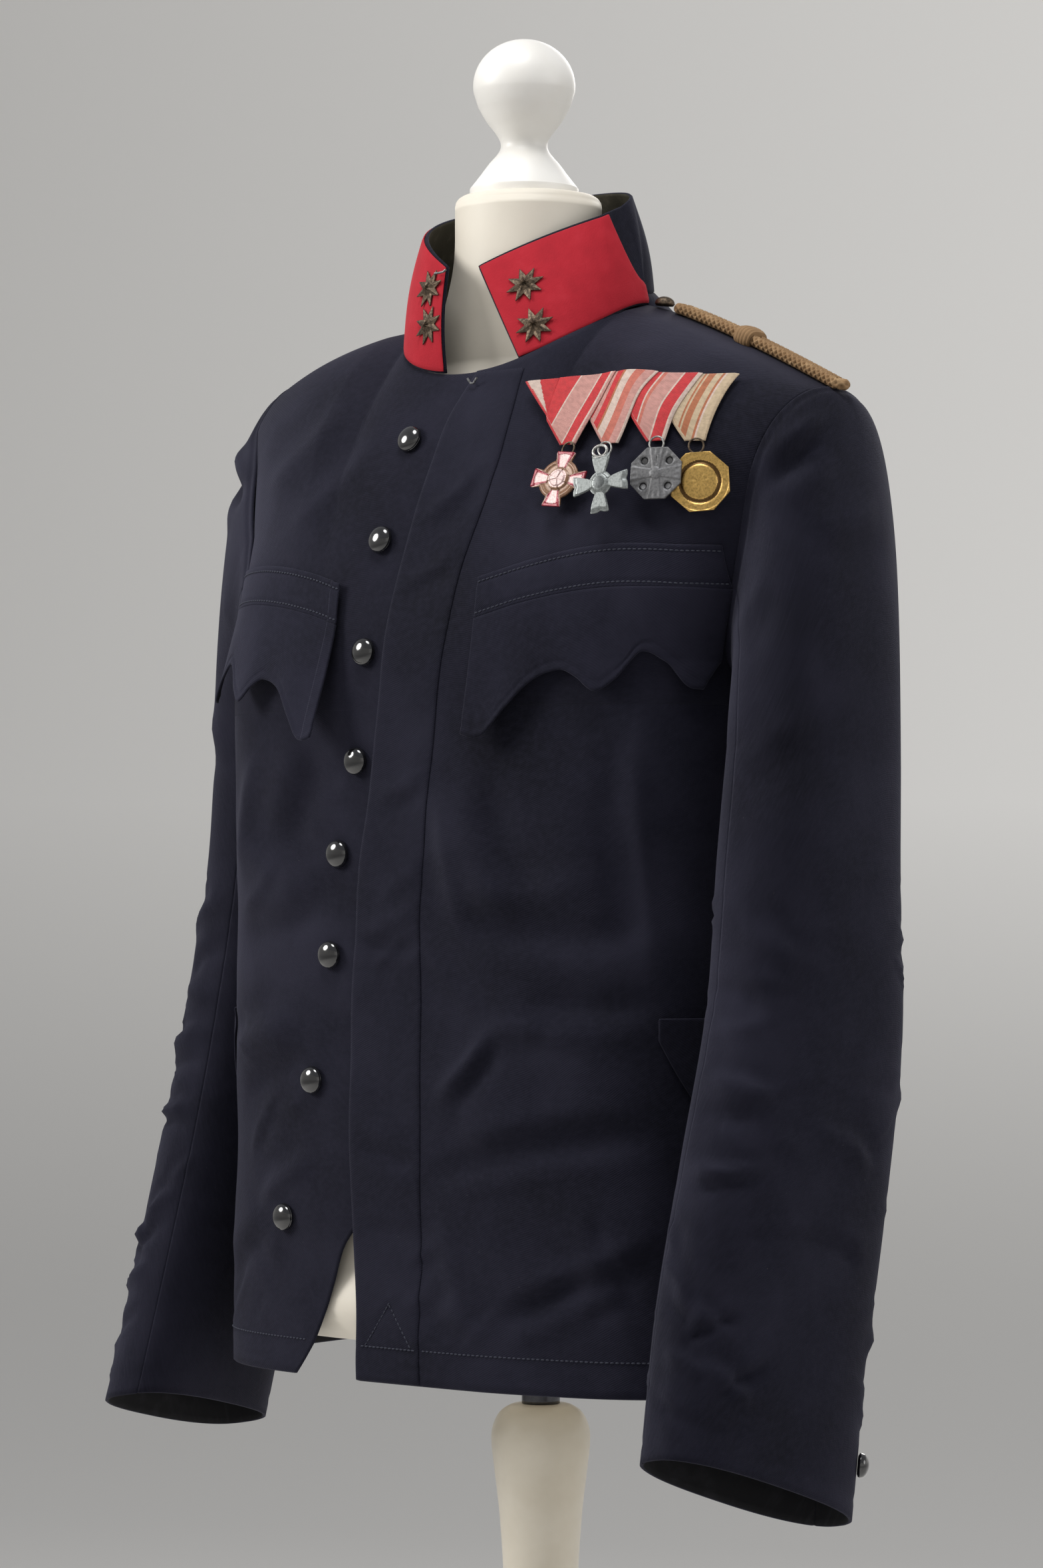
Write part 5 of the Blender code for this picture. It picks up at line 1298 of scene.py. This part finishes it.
def buildCord():
    # two runs along the shoulder line joined by half circles, plaited round, with a bound slide and a button
    inner, outer, radius, spacing = (cord[k] for k in ("inner", "outer", "radius", "spacing"))
    x = np.linspace(inner, outer, 120)
    lift = radius + cord["lift"]
    top = shoulderLine(x, "left") + lift
    seam = shoulderTurn(x, top)
    turnBy = np.radians(np.linspace(0.0, 180.0, 16))[1:-1]
    front = np.stack([x, seam - spacing / 2, top], axis=1)
    back = np.stack([x, seam + spacing / 2, top], axis=1)
    turnOut = np.stack([outer + spacing / 2 * np.sin(turnBy), seam[-1] - spacing / 2 * np.cos(turnBy),
                        top[-1] - 0.0008 * np.sin(turnBy)], axis=1)
    turnIn = np.stack([inner - spacing / 2 * np.sin(turnBy), seam[0] + spacing / 2 * np.cos(turnBy),
                       top[0] + 0.0008 * np.sin(turnBy)], axis=1)
    path = np.concatenate([front, turnOut, back[::-1], turnIn])
    walked = lengthsAlong(path[None], 1)[0]
    total = walked[-1] + np.linalg.norm(path[0] - path[-1])
    fine = np.linspace(0.0, total, cord["rows"] + 1)[:-1]
    loop = np.concatenate([path, path[:1]])
    walked = np.concatenate([walked, [total]])
    path = atWalked(fine, walked, loop)
    turn = evenTurns(cord["sides"])
    plait = 2 * np.pi * round(total / cord["plait"]) * fine[:, None] / total
    # two sets of strands that wind opposite ways, the higher of the two showing
    strands = np.maximum(np.abs(np.cos(2 * turn + plait)), np.abs(np.cos(2 * turn - plait)))
    thickness = radius * (0.42 + 0.62 * strands**1.5)
    tube("shoulderCord", path, thickness, braid, cord["sides"], closed=True)
    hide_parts("shoulder_cord")

    x = cord["slide"]
    slope = float((shoulderLine(x + 0.01, "left") - shoulderLine(x - 0.01, "left")) / 0.02)
    along = unit(np.array([1.0, 0.0, slope]))
    up = np.array([-along[2], 0.0, along[0]])
    height = float(shoulderLine(x, "left")) + lift
    middle = np.array([x, float(shoulderTurn(x, height)), height])
    a = evenTurns(72)
    shift = np.linspace(-cord["slideHalf"], cord["slideHalf"], 45)
    swell = 0.0008 + 0.0022 * capRound(shift, 0.0060)
    swell = swell + 0.0003 * np.abs(np.sin(shift / 0.0011 * np.pi / 2))
    wide, tall = spacing / 2 + radius + swell, radius + swell
    c = squared(np.cos(a), 0.75)
    s = squared(np.sin(a), 0.75)
    flatZ = np.maximum(tall[:, None] * s, -(radius + 0.0012))
    across = np.array([0.0, 1.0, 0.0])
    hoops = (middle + shift[:, None, None] * along + (wide[:, None] * c)[..., None] * across
             + flatZ[..., None] * up)
    poles = [middle + shift[0] * along, middle + shift[-1] * along]
    uv = np.concatenate([hoops.reshape(-1, 3), poles])[:, :2]
    slide = closedRings("cordSlide", hoops, poles, braid, uv)
    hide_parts("cord_slide")

    x = inner - cord["buttonIn"]
    z = float(shoulderLine(x, "left")) + 0.0018
    a = np.radians(np.linspace(2.0, 86.0, 16))
    profile = [(0.0, 0.0), (0.0050, 0.0), (0.0060, 0.0012)]
    profile += list(zip(0.0058 * np.cos(a), 0.0016 + 0.0040 * np.sin(a))) + [(0.0, 0.0056)]
    small = turned("cordButton", profile, np.array([x, 0.0, z]), (0.1, 0.0, 1.0), brass, 40)
    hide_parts("cord_button")


buildCord()
print("shoulder cord made")

# ribbons and medals
red, rose, salmon = (0.54, 0.026, 0.032), (0.52, 0.105, 0.100), (0.54, 0.150, 0.105)
ivory, rust, blush, straw = (0.64, 0.50, 0.43), (0.43, 0.145, 0.065), (0.54, 0.27, 0.235), (0.56, 0.43, 0.285)
ribbonSet = {
    "topZ": 1.3745,
    "tipZ": 1.3365,
    "tipWidth": 0.0105,
    "thickness": 0.0007,
    "layer": 0.0012,         # how far each ribbon lies over the next one to its left
    "grid": (48, 90),
    "slots": ("ribbon_red", "ribbon_rose", "ribbon_salmon", "ribbon_cream"),
    "rows": (   # middle and width of the top, middle of the tip, then the medal's x, z, radius and lift
        (0.0895, 0.0600, 0.1005, 0.1025, 1.3155, 0.0176, 0.0080),
        (0.1165, 0.0560, 0.1290, 0.1350, 1.3100, 0.0180, 0.0130),
        (0.1420, 0.0520, 0.1575, 0.1628, 1.3170, 0.0160, 0.0085),
        (0.1625, 0.0460, 0.1790, 0.1845, 1.3130, 0.0178, 0.0045),
    ),
    "bands": (  # millimetres in from the right edge where each colour starts
        ((0, blush), (1.5, ivory), (2.6, red), (9.0, ivory), (10.0, blush), (23.0, ivory), (24.0, red),
         (62.0, ivory)),
        ((0, ivory), (1.2, blush), (6.5, salmon), (12.0, ivory), (17.5, rust), (18.8, red), (23.0, blush),
         (26.0, red), (34.0, ivory), (37.0, rose), (62.0, ivory)),
        ((0, ivory), (1.8, red), (8.5, ivory), (9.5, blush), (18.0, salmon), (20.0, ivory), (21.0, red),
         (33.0, blush), (36.0, red), (62.0, ivory)),
        ((0, straw), (5.0, ivory), (6.0, rust), (7.2, straw), (10.5, rust), (14.0, straw), (15.0, rust),
         (16.0, straw), (25.0, ivory), (27.0, rust), (28.5, straw), (36.0, rust), (38.0, straw),
         (62.0, straw)),
    ),
}


def buildRibbons():
    # strips that narrow from the pin to a tip; the stripe mark is the distance from the right edge,
    # with a turned corner and a narrow border along the left one
    parts = zip(ribbonSet["rows"], ribbonSet["bands"], ribbonSet["slots"])
    for number, (row, bands, slot) in enumerate(parts):
        topX, topWidth, tipX = row[:3]
        rows, columns = ribbonSet["grid"]
        share = np.linspace(0.0, 1.0, rows)[:, None]
        across = np.linspace(-0.5, 0.5, columns)[None]
        width = topWidth + (ribbonSet["tipWidth"] - topWidth) * share
        x = topX + (tipX - topX) * share + width * across
        z = ribbonSet["topZ"] + (ribbonSet["tipZ"] - ribbonSet["topZ"]) * share + 0.0 * across
        fromRight = width * (0.5 - across) * 1000.0
        fromLeft = width * (0.5 + across) * 1000.0
        corner = (fromLeft < 9.0 - 15.0 * share) & (fromLeft > 1.2)
        stripe = np.where(corner, 63.0, np.where(fromLeft < 1.6, 3.8, fromRight)) / stripeSpan
        layer = ribbonSet["layer"] * (len(ribbonSet["rows"]) - 1 - number)
        fold = 0.0005 * ramp((0.5 - np.abs(across)) / 0.05) - 0.0005
        low = 0.0036 - 0.0014 * share + layer + fold
        outer, normal = onFront(x, z, low + ribbonSet["thickness"])
        look = stripeLook(slot.replace("_", "") + "Silk", bands)
        piece = clothSheet(f"ribbon{number + 1}", outer, normal, ribbonSet["thickness"], [look],
                           marks={"stripe": stripe})
        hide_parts(f"ribbon_{number + 1}")


def crossShape(a, end, notch, halfTurn, soft):
    # arms of the length end at each quarter turn, halfTurn degrees to a side, and notch between them
    off = np.abs((np.degrees(a) + 45.0) % 90.0 - 45.0)
    arm = end / np.maximum(np.cos(np.radians(np.minimum(off, 40.0))), 0.5)
    return arm + (notch - arm) * ramp((off - halfTurn) / soft)


def octagon(a, inner):  # a regular eight-sided rim: inner over the cosine of the turn from the nearest side
    return inner / np.cos(np.radians(np.abs((np.degrees(a) + 22.5) % 45.0 - 22.5)))


def medalFace(kind, share, a, radius):
    # relief in metres over the plate and the tint mark, both as functions of share of the way out and turn
    off = np.abs((np.degrees(a) + 45.0) % 90.0 - 45.0)
    grid = np.zeros_like(share * a)
    if kind == "cross":
        rim = radius * crossShape(a, 0.94, 0.68, 19.0, 5.0)
        x = share * rim
        arm = (grid + (off < 17.0)) * (x < 0.86 * radius) * (x > 0.40 * radius)
        ring = hump(x - 0.60 * radius, 0.07 * radius)
        boss = 0.0010 * (x < 0.36 * radius) + 0.0005 * (x < 0.26 * radius)
        relief = 0.0010 + 0.0007 * ring * (off > 17.0) + boss
        relief = relief + 0.0005 * (off < 17.0) - 0.0003 * arm
        tint = np.where(off < 20.0, np.where(arm * (off < 12.0) > 0, 0.50, 0.17), 0.83)
        tint = np.where(x < 0.40 * radius, 0.83, tint)
        tint = np.where(x < 0.31 * radius, 0.50, tint)
    elif kind == "crowned":
        rim = radius * crossShape(a, 0.96, 0.40, 18.0 + 2 * np.sin(4 * a), 7.0)
        rim = rim * (1.0 - 0.05 * hump(off, 5.0))
        x = share * rim
        relief = 0.0009 + 0.0009 * ramp((rim - x) / (0.16 * radius)) + 0.0012 * capRound(x, 0.30 * radius)
        tint = 0.25 + 0.5 * (x < 0.20 * radius)
    elif kind == "wreath":
        rim = octagon(a, 0.93 * radius)
        x = share * rim
        hole = np.hypot(x * np.cos(a) - 0.46 * radius * np.sign(np.cos(a)),
                        x * np.sin(a) - 0.46 * radius * np.sign(np.sin(a)))
        slot = np.exp(-(hole / (0.135 * radius))**4)
        arms = ramp((0.13 * radius + 0.16 * x - x * np.sin(np.radians(off))) / (0.05 * radius))
        leaves = 0.00014 * np.cos(24 * a) * hump(x - 0.80 * radius, 0.10 * radius)
        relief = 0.0012 + 0.0004 * arms + leaves - 0.0016 * slot + 0.0006 * capRound(x, 0.22 * radius)
        tint = np.where(slot > 0.35, 0.75, 0.25)
    else:
        rim = octagon(a, 0.93 * radius)
        x = share * rim
        groove = hump(x - 0.62 * radius, 0.075 * radius)
        laurel = 0.00008 * np.cos(24 * a + 9 * x / radius) * hump(x - 0.82 * radius, 0.07 * radius)
        rosette = 0.00025 * np.cos(4 * a)**2 * hump(x - 0.24 * radius, 0.13 * radius)
        dome = capRound(x, 0.62 * radius)
        relief = 0.0013 - 0.0011 * groove + laurel + rosette + 0.0006 * dome
        relief = relief + 0.0005 * hump(x - 0.95 * radius, 0.03 * radius)
        tint = np.where(groove > 0.50, 0.75, 0.25)
    return rim + grid, relief, tint + grid


medalSet = {
    "grid": (44, 192),
    "kinds": ("cross", "crowned", "wreath", "ring"),
    "slots": ("medal_enamel", "medal_silver", "medal_silver", "medal_bronze"),
    "tilts": (-6.0, 8.0, 0.0, 4.0),
    "widths": (1.14, 1.0, 1.0, 1.0),
    "looks": (   # name, colours by tint, roughness, metallic
        ("redWhiteEnamel", ((0.300, 0.022, 0.040), (0.60, 0.42, 0.40), (0.26, 0.135, 0.075)), 0.30, 0.10),
        ("paleSilver", ((0.27, 0.29, 0.285), (0.12, 0.13, 0.13)), 0.40, 0.55),
        ("greySilver", ((0.175, 0.175, 0.180), (0.012, 0.012, 0.014)), 0.50, 0.55),
        ("gildedBronze", ((0.66, 0.42, 0.130), (0.13, 0.070, 0.022)), 0.38, 0.75),
    ),
    "brassRings": (1, 4),
    "crowned": 2,            # the medal with a plain crown above it
    "wire": 0.00055,
    "ringRadius": (0.0021, 0.0042),
}


def struckPlate(name, kind, place, across, up, out, radius, look):
    # a medal: the relief over its face, a straight skirt to its flat back, and a tint mark on every point
    rows, count = medalSet["grid"]
    a = evenTurns(count)[None]
    share = np.linspace(0.0, 1.0, rows + 1)[1:, None]
    rim, relief, tint = medalFace(kind, share, a, radius)
    r = share * rim
    flat = np.sin(a)[..., None] * across + np.cos(a)[..., None] * up
    face = place + r[..., None] * flat + relief[..., None] * out
    skirt = place + r[-1, :, None] * flat[0]
    marks = {"tint": np.concatenate([tint.ravel(), tint[-1].ravel(), [tint[0].mean(), tint[0].mean()]])}
    turn = float(np.dot(np.cross(across, up), out)) > 0
    poles = [place + relief[0].mean() * out, place]
    return closedRings(name, np.concatenate([face, skirt[None]]), poles, look, marks=marks, turn=turn)


def wireRing(name, place, across, up, radius, wire, look):  # a round wire bent to a circle
    segments, sides = 48, 12
    a = evenTurns(segments)
    path = place + radius * (np.cos(a)[:, None] * across + np.sin(a)[:, None] * up)
    out = np.cross(across, up)
    b = evenTurns(sides)
    spoke = unit(path - place)
    b = b[None, :, None]
    hoops = path[:, None] + wire * (np.cos(b) * spoke[:, None] + np.sin(b) * out)
    faces = [tuple(f) for f in gridFaces(segments, sides, True)]
    k = np.arange(sides)
    d = (k + 1) % sides
    last = (segments - 1) * sides
    return makePiece(name, hoops, faces + list(zip(last + k, last + d, d, k)), [look])


def buildMedals():
    # each plate lies square to the front under its ribbon's tip, and a ring joins the two
    looks = [enamelLook(*values) for values in medalSet["looks"]]
    parts = zip(ribbonSet["rows"], *(medalSet[k] for k in ("kinds", "slots", "tilts", "widths")), looks)
    for number, (row, kind, slot, tilt, wider, look) in enumerate(parts, 1):
        tipX, x, z, radius, lift = row[2:]
        points, normal = onFront(np.array([x]), np.array([z]), np.array([lift - 0.0005]))
        place, out = points[0], normal[0]
        across = unit(np.cross(np.array([0.0, 0.0, 1.0]), -out))
        across = across if across[0] > 0 else -across
        up = unit(np.cross(out, across))
        up = up if up[2] > 0 else -up
        tilt = math.radians(tilt)
        tiltedAcross = math.cos(tilt) * across + math.sin(tilt) * up
        tiltedUp = math.cos(tilt) * up - math.sin(tilt) * across
        piece = struckPlate(f"medal{number}", kind, place, wider * tiltedAcross, tiltedUp, out, radius, look)
        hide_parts(f"medal_{number}")
        crowned = number == medalSet["crowned"]
        tip = onFront(np.array([tipX]), np.array([ribbonSet["tipZ"] - 0.0002]), np.array([0.0036]))[0][0]
        isBrass = number in medalSet["brassRings"]
        metal, metalSlot = (brass, "dull_brass") if isBrass else (silver, "medal_silver")
        top = place + (radius * (1.0 if crowned else 0.98)) * tiltedUp + 0.0008 * out
        low, high = medalSet["ringRadius"]
        size = min(max(low, 0.5 * float(np.linalg.norm(tip - top)) + 0.0010), high)
        wireRing(f"medalRing{number}", 0.45 * tip + 0.55 * top, across, up, size, medalSet["wire"], metal)
        if crowned:   # a plain crown between the ring and the cross
            base = place + radius * 0.86 * tiltedUp + 0.0006 * out
            a = evenTurns(40)[:, None]
            path = base + 0.0036 * tiltedUp
            path = path + 0.0044 * np.cos(a) * tiltedAcross + 0.0034 * np.sin(a) * tiltedUp
            tube("medalCrown", path, 0.0009, silver, 10, closed=True)
            bar = base + np.linspace(-0.0042, 0.0042, 12)[:, None] * tiltedAcross
            tube("medalCrownBar", bar, 0.0011, silver, 10)


buildRibbons()
buildMedals()
for node in ("collar_hook", "throat_hook"):
    bpy.data.objects[node].data.materials.clear()
    bpy.data.objects[node].data.materials.append(steel)
print("ribbons and medals made")

# dress form and stand
form = {
    "bottom": 0.8200,
    "gap": 0.0070,
    "neckR": 0.0440,
    "neckY": -0.0120,
    "neckTop": 1.4995,
    "neckEdge": 0.0060,      # height of the rounding at the neck block's top
    "columns": 128,
    "shoulderFrom": 1.20,    # height above which the section rounds off and leans back to the neck
    "shoulderRun": 0.18,
    "rings": np.array([      # height, share of the chest's section
        (0.820, 0.930), (0.826, 0.985), (0.870, 1.000), (0.990, 1.000), (1.100, 1.000), (1.180, 0.990),
        (1.225, 0.960), (1.262, 0.900), (1.292, 0.830), (1.322, 0.745), (1.350, 0.640), (1.375, 0.525),
        (1.397, 0.400),
    ]),
    "neck": (                # share of the way in to the neck block, height above the shoulders
        (0.0, 0.0), (0.30, 0.021), (0.62, 0.039), (0.90, 0.058), (1.0, 0.075), (1.0, 0.1005), (1.0, 0.1005),
        (1.0, 0.1018),
    ),
    "neckCorner": ((0.0005, 0.0023), (0.0018, 0.0042), (0.0037, 0.0055), (0.0060, 0.0060), (0.0300, 0.0060)),
    "finialShift": (-0.0020, -0.0016),
    "finial": (              # radius, height
        (0.0300, 0.0), (0.0324, 0.0), (0.0324, 0.0), (0.0326, 0.0042), (0.0318, 0.0056), (0.0268, 0.0120),
        (0.0212, 0.0195), (0.0158, 0.0258), (0.0140, 0.0300), (0.0146, 0.0338), (0.0176, 0.0388),
        (0.0228, 0.0456), (0.0276, 0.0540),
    ),
    "knob": (0.0306, 0.0279, 0.0664),        # half width, half height and height of the middle
}
stand = {
    "rodR": 0.0115,
    "columnTop": 0.7760,
    "baseR": 0.2000,
    "column": (              # radius, height
        (0.0420, 0.0303), (0.0450, 0.0360), (0.0380, 0.0520), (0.0260, 0.0660), (0.0235, 0.1200),
        (0.0225, 0.3000), (0.0215, 0.5600), (0.0222, 0.6600), (0.0245, 0.7050), (0.0278, 0.7350),
        (0.0297, 0.7520), (0.0290, 0.7620), (0.0250, 0.7705), (0.0190, 0.7748), (0.0140, 0.7760),
    ),
}


def buildForm():
    # the torso is the tunic's own section less the cloth and a gap, scaled by its table; it runs up into the
    # neck block along the neck table and ends in a rounded edge
    columns, bottom, neckR, neckY = (form[k] for k in ("columns", "bottom", "neckR", "neckY"))
    a = evenTurns(columns)
    z = np.unique(np.concatenate([np.linspace(bottom, 0.826, 6), np.linspace(0.826, 0.87, 8),
                                  np.linspace(0.87, 1.397, 56)]))[:, None]
    share = softColumn(form["rings"], z, 1)
    at = np.minimum(z, bodice["dome"])
    half, front, behind = (column(rings, at, k) - bodice["cloth"] - form["gap"] for k in (2, 3, 4))
    depthShare = np.where(z < form["shoulderFrom"], share, share ** 1.25)
    rise = ramp((z - form["shoulderFrom"]) / form["shoulderRun"])
    power = 3.2 - 1.0 * rise
    c, s = squared(np.cos(a), 2 / power), squared(np.sin(a), 2 / power)
    y = np.where(s < 0, front, behind) * depthShare * s + neckY * rise
    torso = np.stack([half * share * c, y, z + 0.0 * c], axis=-1)
    last = torso[-1]
    steps = throughPoints(form["neck"], 6)[1:]
    neck = np.stack([neckR * np.cos(a), neckR * np.sin(a) + neckY, 0.0 * a], axis=-1)
    blend = np.clip(steps[:, 0], 0.0, 1.0)[:, None, None]
    block = (1 - blend) * last + blend * neck
    block[..., 2] = np.minimum(last[:, 2] + steps[:, 1:], form["neckTop"] - form["neckEdge"])
    cap = np.repeat(block[-1:], len(form["neckCorner"]), axis=0)
    for k, (inset, up) in enumerate(form["neckCorner"]):
        shrink = (neckR - inset) / neckR
        cap[k, :, 0] = block[-1, :, 0] * shrink
        cap[k, :, 1] = neckY + (block[-1, :, 1] - neckY) * shrink
        cap[k, :, 2] = form["neckTop"] - form["neckEdge"] + up
    poles = [[0.0, 0.0, bottom], [0.0, neckY, form["neckTop"]]]
    piece = closedRings("formTorso", np.concatenate([torso, block, cap]), poles, cream)
    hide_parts("form_torso")

    wide, tall, middle = form["knob"]
    turnBy = np.radians(np.linspace(-8.0, 86.0, 32))
    ball = np.stack([wide * np.cos(turnBy), middle + tall * np.sin(turnBy)], axis=1)
    profile = np.concatenate([[(0.0, 0.0)], throughPoints(form["finial"], 8), ball, [(0.0, middle + tall)]])
    shiftX, shiftY = form["finialShift"]
    foot = np.array([shiftX, neckY + shiftY, form["neckTop"] + 0.0003])
    finial = turned("formFinial", profile, foot, (0, 0, 1), paint, 96)
    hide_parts("form_finial")


def buildStand():  # three turned pieces on one axis: rod, column and base
    low, top = stand["columnTop"] + 0.0003, form["bottom"] - 0.0003
    r = stand["rodR"]
    profile = [(0.0, low), (r, low), (r, low + 0.002), (r, top - 0.002), (r, top), (0.0, top)]
    rod = turned("standRod", profile, np.zeros(3), (0, 0, 1), chrome, 64)
    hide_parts("stand_rod")
    side = throughPoints(stand["column"], 8)
    profile = np.concatenate([[(0.0, side[0, 1])], side, [(0.0, stand["columnTop"])]])
    post = turned("standColumn", profile, np.zeros(3), (0, 0, 1), standWood, 96)
    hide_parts("stand_column")
    r = stand["baseR"]
    side = throughPoints([(r - 0.004, 0.0), (r, 0.0), (r, 0.0), (r, 0.0120), (r - 0.0050, 0.0170),
                          (r - 0.0300, 0.0200), (0.0700, 0.0300), (0.0500, 0.0302)], 8)
    profile = np.concatenate([[(0.0, 0.0)], side, [(0.0, 0.0300)]])
    foot = turned("standBase", profile, np.zeros(3), (0, 0, 1), standWood, 160)
    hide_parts("stand_base")


buildForm()
buildStand()
print("form and stand made")

# floor, lights and camera
studio = {
    "bowl": ((0.4, 0.0), (3.0, 0.0), (7.0, 0.0), (9.5, 0.25), (11.5, 1.4), (12.6, 3.6), (12.9, 6.5)),
    "backdrop": (0.66, 0.650, 0.628),
    "glow": (0.14, 0.37),    # light the backdrop gives off, at its left and at its right
    "world": (0.95, 0.96, 1.0),
    "worldStrength": 0.32,
    "lights": (   # name, azimuth and height of its place, distance, size, watts, colour
        ("keyLight", -44.0, 2.60, 3.0, 1.5, 68.0, (1.0, 0.985, 0.96)),
        ("fillLight", 104.0, 2.20, 3.4, 1.8, 18.0, (1.0, 0.99, 0.98)),
        ("topLight", 20.0, 3.60, 0.9, 1.2, 36.0, (1.0, 1.0, 1.0)),
        ("backLight", 200.0, 2.60, 3.0, 1.6, 22.0, (1.0, 0.98, 0.95)),
    ),
    "cameraAzimuth": 38.0,
    "cameraDistance": 2.60,
    "cameraHeight": 1.10,
    "lens": 6500.0 / 2358.0 * 36.0,
    "shift": (-0.0123, 0.0513),
}


def buildStudio():
    # a flat disc that curves up into a bowl all round, glowing as painted light
    profile = throughPoints(studio["bowl"], 10)
    around = 96
    a = evenTurns(around)
    radius, height = profile[:, :1], profile[:, 1:]
    points = np.broadcast_arrays(radius * np.cos(a), radius * np.sin(a), height)
    points = np.stack(points, axis=-1).reshape(-1, 3)
    count = len(points)
    points = np.concatenate([points, [[0.0, 0.0, 0.0]]]) - np.array([0.0, 0.0, 0.0002])
    faces = [tuple(f[::-1]) for f in gridFaces(len(profile), around, True)] + fan(0, around, count)
    mesh = bpy.data.meshes.new("studioFloor")
    mesh.from_pydata(points.tolist(), [], [tuple(int(v) for v in f) for f in faces])
    # painted light: the bowl glows with no lamp in it, more towards the camera's right and more higher up
    look = newLook("paleBackdrop", studio["backdrop"], 0.9, Emission_Color=(1.0, 0.985, 0.955, 1.0))
    place = addNode(look, "TexCoord")
    apart = addNode(look, "SeparateXYZ")
    join(look, place, "Object", apart, 0)
    a = math.radians(studio["cameraAzimuth"])
    across = addNode(look, "VectorMath", operation="DOT_PRODUCT")
    across.inputs[1].default_value = (math.cos(a), math.sin(a), 0.0)
    join(look, place, "Object", across, 0)
    low, high = studio["glow"]
    side = addNode(look, "MapRange", {"From Min": -2.6, "From Max": 2.6, "To Min": low, "To Max": high})
    join(look, across, "Value", side, "Value")
    raised = addNode(look, "MapRange", {"From Min": 0.0, "From Max": 1.3, "To Min": 0.25, "To Max": 1.0})
    join(look, apart, "Z", raised, "Value")
    intoShader(look, mathOf(look, "MULTIPLY", (side, 0), (raised, 0)), 0, "Emission Strength")
    mesh.materials.append(look)
    mesh.shade_smooth()
    floor = bpy.data.objects.new("studioFloor", mesh)
    bpy.context.scene.collection.objects.link(floor)

    world = bpy.data.worlds.new("studioWorld")
    bpy.context.scene.world = world
    world.use_nodes = True
    sky = world.node_tree.nodes["Background"]
    sky.inputs["Color"].default_value = (*studio["world"], 1.0)
    sky.inputs["Strength"].default_value = studio["worldStrength"]

    for name, azimuth, height, distance, size, watts, colour in studio["lights"]:
        lamp = bpy.data.lights.new(name, "AREA")
        lamp.shape = "DISK"
        lamp.size = size
        lamp.energy = watts
        lamp.color = colour
        holder = bpy.data.objects.new(name, lamp)
        a = math.radians(azimuth)
        place = np.array([distance * math.sin(a), -distance * math.cos(a), height])
        holder.location = place
        aim = np.array([0.0, 0.0, 1.10]) - place
        flat = math.hypot(aim[0], aim[1])
        holder.rotation_euler = (math.atan2(flat, -aim[2]), 0.0, math.atan2(-aim[0], aim[1]))
        bpy.context.scene.collection.objects.link(holder)

    lens = bpy.data.cameras.new("studioCamera")
    lens.lens = studio["lens"]
    lens.sensor_width = 36.0
    lens.shift_x, lens.shift_y = studio["shift"]
    lens.clip_end = 60.0
    camera = bpy.data.objects.new("studioCamera", lens)
    a = math.radians(studio["cameraAzimuth"])
    camera.location = (studio["cameraDistance"] * math.sin(a), -studio["cameraDistance"] * math.cos(a),
                       studio["cameraHeight"])
    camera.rotation_euler = (math.pi / 2, 0.0, a)
    bpy.context.scene.collection.objects.link(camera)
    bpy.context.scene.camera = camera
    bpy.context.scene.view_settings.view_transform = "Standard"


buildStudio()
bpy.context.view_layer.update()
print("studio made")
